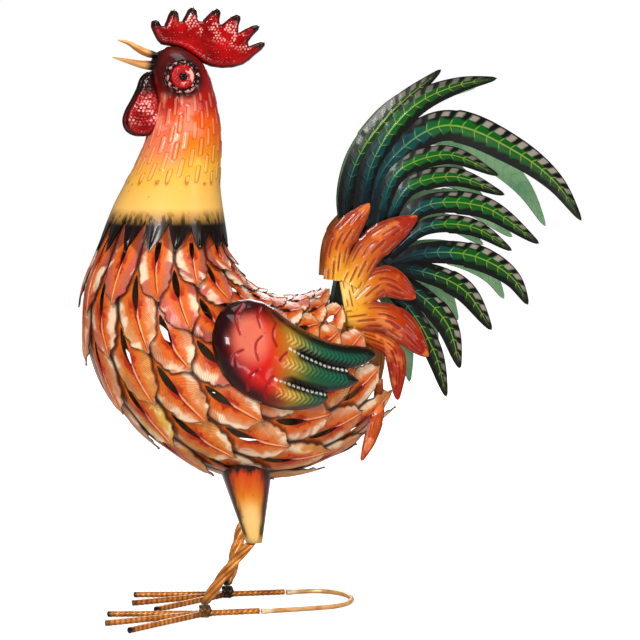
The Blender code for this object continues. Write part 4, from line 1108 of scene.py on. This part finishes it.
def build_wings(materials):
    outline = np.array(WING_OUTLINE)
    for side, word in SIDES:
        wing, flat, rim = cut_sheet(f"wing_{word}_form", outline, 0.95)
        edge, border, _ = distance_to(flat, outline, closed=True)
        edge[rim] = 0
        upper = np.where(border[:, 1] - flat[:, 1] > 0.5 * edge, edge, 99.0)
        fold = np.full(len(flat), 99.0)
        bead, groove, lips, barb = np.zeros((4, len(flat)))
        for line in WING_FOLDS:
            gap, nearest, run = distance_to(flat, line)
            start = smooth_step(run, 0.0, 14.0)
            fold = np.minimum(fold, gap + 8 * (1 - start))
            beads = np.abs((run + 2) % BEAD_PITCH - BEAD_PITCH / 2)
            dash = smooth_step(np.hypot(gap - 1.7, np.maximum(beads - 0.8, 0)), 1.0, 0.3)
            bead = np.maximum(bead, dash * (flat[:, 1] < nearest[:, 1]))
        x, z = flat.T
        fade = smooth_step(x, -70, 0)
        reach = 24 - 14.5 * fade
        rise = 15.0 - 9.3 * fade
        height = rise * round_off(np.minimum(edge, fold), reach)
        for line in WING_STROKES:
            table, length = keyed(line)
            gap, _, _ = distance_to(flat, eased(table, np.linspace(0, length, 12)))
            groove = np.maximum(groove, smooth_step(gap, 1.7, 0.6))
            lips = np.maximum(lips, smooth_step(gap, 3.0, 1.9) * smooth_step(gap, 1.2, 1.9))
        for line in WING_CRESTS:
            table, length = keyed(line)
            points = eased(table, np.linspace(0, length, 24))
            gap, nearest, run = distance_to(flat, points)
            above = z - nearest[:, 1]
            phase = ((run + np.abs(above) * 0.9) / WING_BARB_PITCH) % 1
            band = smooth_step(gap, 8.0, 4.5) * smooth_step(run, 0, 4) * smooth_step(run, length, length - 4)
            barb = np.maximum(barb, smooth_step(np.abs(phase - 0.5), 0.26, 0.12) * band)
        height = height - 0.8 * groove + 0.15 * lips + 0.35 * barb + 0.5 * bead * (edge > 1.5)
        height[rim] = 0
        y = wing_surface(x, z) + SHEET + height
        shape(wing, np.column_stack([x, side * y, z]))
        if side == RIGHT:
            wing.data.flip_normals()
        crest = np.min([distance_to(flat, line)[0] for line in WING_CRESTS], axis=0)
        # The distance from the middle of the painted sheen on the dome is kept with each corner.
        tag(wing, edge=edge, fold=fold, upper=upper, groove=groove, barb=barb * smooth_step(crest, 6.0, 2.0),
            bead=bead * (edge > 1.5), fade=np.clip((x + 110) / 148 + (238 - z) * 0.0006, 0, 1),
            blush=np.hypot(x + 88, (z - 246) * 0.8))
        settle(wing, materials, "wing_" + word, 60, SHELL_SHEET)


def build_thighs(material):
    for side, word in SIDES:
        top, end = np.array(THIGH_TOP[side]), np.array(THIGH_END[side])

        def place(turn, v):
            ray = np.column_stack([np.cos(turn), np.sin(turn)])
            low = np.column_stack([end + ray * THIGH_END_RADIUS, np.full(len(turn), KNEE_HEIGHT)])
            high = np.column_stack([top + ray * THIGH_TOP_RADIUS, np.full(len(turn), THIGH_TOP_HEIGHT)])
            under, over = np.zeros(len(turn)), np.full(len(turn), 1.6)
            for _ in range(24):
                share = (under + over) / 2
                p = low + (high - low) * share[:, None]
                met = np.abs(p[:, 1]) < body_half_width(p[:, 0], p[:, 2], LEAF_TIP_RISE + 2 * GAP)
                over, under = np.where(met, share, over), np.where(met, under, share)
            climb = np.clip((v - CAP_SHARE) / (1 - CAP_SHARE), 0, 1)
            p = low + (high - low) * (under * climb)[:, None]
            spread = THIGH_END_RADIUS * np.sin(np.clip(v / CAP_SHARE, 0, 1) * math.pi / 2)
            p[:, :2] = np.where((v < CAP_SHARE)[:, None], end + ray * spread[:, None], p[:, :2])
            return p

        thigh, turn, v = tube(f"thigh_{word}_form", 64, 50, place)
        # Direction of the painted lit side round each thigh.
        bright = -math.pi / 2 - 0.25 if side == LEFT else 0.85 * math.pi
        tag(thigh, rise=np.clip((v - CAP_SHARE) / (1 - CAP_SHARE), 0, 1),
            facing=0.5 + 0.5 * np.cos(turn - bright))
        close_seams(thigh)
        settle(thigh, (material,), "thigh_" + word, sheet=PLATE_SHEET)


def shank_lobes(turn, v):
    """1 on the crests of the twisted strands, 0 between them."""
    return 0.5 + 0.5 * np.cos(4 * (turn - np.radians(SHANK_TWIST) * v))


def build_shanks(material):
    for side, word in SIDES:
        top, bottom = np.array(THIGH_END[side]), np.array(FOOT_JUNCTION[side])

        def place(turn, v):
            axis = bottom + (top - np.array((SHANK_LEAN, 0)) - bottom) * v[:, None]
            axis[:, 0] -= SHANK_BOW[side] * 4 * v * (1 - v)
            z = PAD_HEIGHT + GAP + (KNEE_HEIGHT - PAD_HEIGHT - 2 * GAP) * v
            full = np.minimum(1.0, 0.64 + 2.2 * v) * np.minimum(1, np.minimum(v, 1 - v) * 60)
            radius = (4.3 + 1.5 * shank_lobes(turn, v)**0.7) * full
            return np.column_stack([axis[:, 0] + radius * np.cos(turn),
                                    axis[:, 1] + radius * np.sin(turn), z])

        shank, turn, v = tube(f"shank_{word}_form", 48, 90, place)
        tag(shank, groove=smooth_step(shank_lobes(turn, v), 0.35, 0.0),
            burnt=smooth_step(v, 0.16, 0.0) if side == LEFT else smooth_step(v, 0.34, 0.06))
        close_seams(shank)
        settle(shank, (material,), "shank_" + word)


def rod_height(radius):
    """Height of the axis of a rod that lies on the ground on a flat of its eight sides."""
    return radius * math.cos(math.pi / 8)


def ribbed_rod(name, start, end):
    """Straight rod on the ground, with ribs round it and rounded ends."""
    start, end = np.array(start, float), np.array(end, float)
    length = np.linalg.norm(end - start)
    ahead = (end - start) / length
    sideways = np.array((-ahead[1], ahead[0]))
    height = rod_height(TOE_RADIUS)

    def wave(turn, run):
        return np.cos((run + 0.5 * turn) / RIB_PITCH * 2 * math.pi)

    def place(turn, v):
        run = v * length
        cap = round_off(np.minimum(run, length - run), 0.4)
        ribs = RIB_HEIGHT * np.clip(wave(turn, run) - 0.1, 0, 1)
        size = (TOE_RADIUS - RIB_HEIGHT + ribs) * cap
        flat = start + ahead * run[:, None] + sideways * (size * np.cos(turn))[:, None]
        return np.column_stack([flat, height + size * np.sin(turn) * height / TOE_RADIUS])

    piece, turn, v = tube(name, 20, max(20, round(length / 0.75)), place)
    tag(piece, groove=1 - np.clip(wave(turn, v * length) + 0.5, 0, 1))
    return piece, v * length


def build_feet(copper, weld):
    for side, word in SIDES:
        junction = np.array(FOOT_JUNCTION[side], float)
        name = f"foot_{word}_form"
        made = []
        for length, degrees in TOES:
            a = math.radians(degrees)
            ahead = np.array((-math.cos(a), math.sin(a)))
            toe, run = ribbed_rod(name, junction - ahead * 2, junction + ahead * length)
            tag(toe, burnt=np.maximum(smooth_step(run, length - 6, length + 2),
                                      0.8 * smooth_step(run, 34 if side == LEFT else 52, 0)))
            close_seams(toe)
            made.append(toe)
        rear = (junction[0] + REAR_ROD_LENGTHS[side], LOOP_CENTRE_Y + side * LOOP_HALF_WIDTH)
        rod, run = ribbed_rod(name, junction - np.array((2, 0)), rear)
        tag(rod, burnt=0.8 * smooth_step(run, 16, 2))
        close_seams(rod)
        made.append(rod)
        settle(join(name, made), (copper,), "foot_" + word)

        def place(turn, v):
            rise = np.clip((v - 0.1) / 0.8, 0, 1)
            lumps = 1 + 0.16 * np.sin(3 * turn + 5 * v) + 0.10 * np.sin(7 * turn - 9 * v)
            radius = (6.6 - 2.6 * rise) * lumps * np.minimum(1, np.minimum(v, 1 - v) * 10)
            return np.column_stack([junction[0] + radius * np.cos(turn), junction[1] + radius * np.sin(turn),
                                    0.6 + (PAD_HEIGHT - 0.6) * rise])

        pad, _, _ = tube(f"weld_{word}", 32, 30, place)
        close_seams(pad)
        tag(pad, groove=0.0, burnt=0.9)
        settle(pad, (weld,), "foot_" + word)


def build_loop(material):
    height = rod_height(LOOP_RADIUS)
    ends = {side: (FOOT_JUNCTION[side][0] + REAR_ROD_LENGTHS[side] + GAP,
                   LOOP_CENTRE_Y + side * LOOP_HALF_WIDTH) for side in (LEFT, RIGHT)}
    turns = [math.pi * (k / 24 - 0.5) for k in range(25)]
    bend = [(LOOP_CENTRE_X + LOOP_HALF_WIDTH * math.cos(t), LOOP_CENTRE_Y + LOOP_HALF_WIDTH * math.sin(t))
            for t in turns]
    table, length = keyed([ends[LEFT], *bend, ends[RIGHT]])

    def place(turn, v):
        centre, ahead = along_curve(table, length, v, 0.01)
        run = np.minimum(v, 1 - v) * length
        lump = smooth_step(run, 9.0, 3.0) * (0.6 + 0.25 * np.sin(3 * turn + run))
        size = (LOOP_RADIUS + lump) * round_off(run, 0.3)
        flat = centre + np.column_stack([-ahead[:, 1], ahead[:, 0]]) * (size * np.cos(turn))[:, None]
        return np.column_stack([flat, np.maximum(0.05, height + size * np.sin(turn) * height / LOOP_RADIUS)])

    loop, _, v = tube("support_loop_form", 20, 170, place)
    tag(loop, weld=smooth_step(np.minimum(v, 1 - v) * length, 13.0, 8.0))
    close_seams(loop)
    settle(loop, (material,), "support_loop")


# Studio: pale floor, soft lights and the camera of the photograph.

def camera_only(tree, strength, colour, seen, cast):
    """Adds light that only the camera sees, so the paper stays white without bleaching the bird."""
    path = tree.nodes.new("ShaderNodeLightPath")
    scale = tree.nodes.new("ShaderNodeMath")
    scale.operation = "MULTIPLY_ADD"
    tree.links.new(path.outputs["Is Camera Ray"], scale.inputs[0])
    scale.inputs[1].default_value, scale.inputs[2].default_value = seen, cast
    tree.links.new(scale.outputs[0], strength)
    colour.default_value = (1, 1, 1, 1)


def hang(name, data, place, look):
    """Puts a lamp or the camera at a place, looking along a direction."""
    holder = bpy.data.objects.new(name, data)
    holder.location = place
    holder.rotation_euler = look.to_track_quat("-Z", "Y").to_euler()
    bpy.context.scene.collection.objects.link(holder)
    return holder


def build_studio():
    bpy.ops.object.select_all(action="DESELECT")
    bpy.ops.mesh.primitive_plane_add(size=30, location=(0, 0, -0.0004))
    floor = bpy.context.object
    floor.name = "studio_floor"
    paper = bpy.data.materials.new("studio_paper")
    paper.use_nodes = True
    shader = paper.node_tree.nodes["Principled BSDF"]
    shader.inputs["Base Color"].default_value = (0.5, 0.5, 0.5, 1)
    shader.inputs["Roughness"].default_value = 0.9
    glow, tone = shader.inputs["Emission Strength"], shader.inputs["Emission Color"]
    camera_only(paper.node_tree, glow, tone, PAPER_GLOW, 0.0)
    floor.data.materials.append(paper)
    world = bpy.data.worlds.new("studio")
    bpy.context.scene.world = world
    world.use_nodes = True
    sky = world.node_tree.nodes["Background"]
    camera_only(world.node_tree, sky.inputs["Strength"], sky.inputs["Color"], SKY_GLOW, SKY_LIGHT)
    for name, place, size, power in (("key", (-1.0, -1.7, 1.25), (0.5, 0.5), 38),
                                     ("low", (-0.3, -1.7, 0.12), (0.9, 0.2), 7),
                                     ("fill", (1.3, -1.5, 0.7), (0.4, 1.2), 9),
                                     ("top", (0.2, -0.4, 2.0), (1.0, 1.0), 16),
                                     ("back", (0.3, 1.8, 1.2), (1.4, 1.0), 22)):
        lamp = bpy.data.lights.new(name, "AREA")
        lamp.shape = "RECTANGLE"
        lamp.size, lamp.size_y = size
        lamp.energy = power
        hang(name, lamp, place, Vector((0, 0, AIM_HEIGHT)) - Vector(place))
    camera = bpy.data.cameras.new("camera")
    camera.lens, camera.sensor_width = CAMERA_LENS, 36.0
    level = math.cos(CAMERA_ELEVATION)
    back = Vector((math.sin(CAMERA_AZIMUTH) * level, -math.cos(CAMERA_AZIMUTH) * level,
                   math.sin(CAMERA_ELEVATION)))
    aim = Vector((SHIFT[0], SHIFT[1], AIM_HEIGHT))
    bpy.context.scene.camera = hang("camera", camera, aim + back * CAMERA_DISTANCE, -back)
    bpy.context.scene.view_settings.view_transform = "Standard"


inner = plain_enamel("leaf_underside", 0.6, 0.1, 60, 4, (0.3, 0.16, 0.10, 0.055), (0.7, 0.28, 0.19, 0.11))
build_leaves((leaf_enamel(), inner))
build_neck((neck_enamel(), inner))
red = comb_enamel()
build_comb(red)
build_wattles(red)
build_eyes(eye_enamel())
build_beaks(beak_enamel())
build_tail((feather_enamel(), feather_underside()))
back = plain_enamel("flame_underside", 0.5, 0.2, 40, 3, (0.3, 0.22, 0.06, 0.012), (0.7, 0.40, 0.14, 0.035))
build_flames((flame_enamel(), back))
build_wings((wing_enamel(), inner))
build_thighs(thigh_enamel())
copper = copper_enamel("copper_rod", 0.0)
build_shanks(copper)
build_feet(copper, copper_enamel("weld_bead", 0.6))
build_loop(wire_enamel())
build_studio()
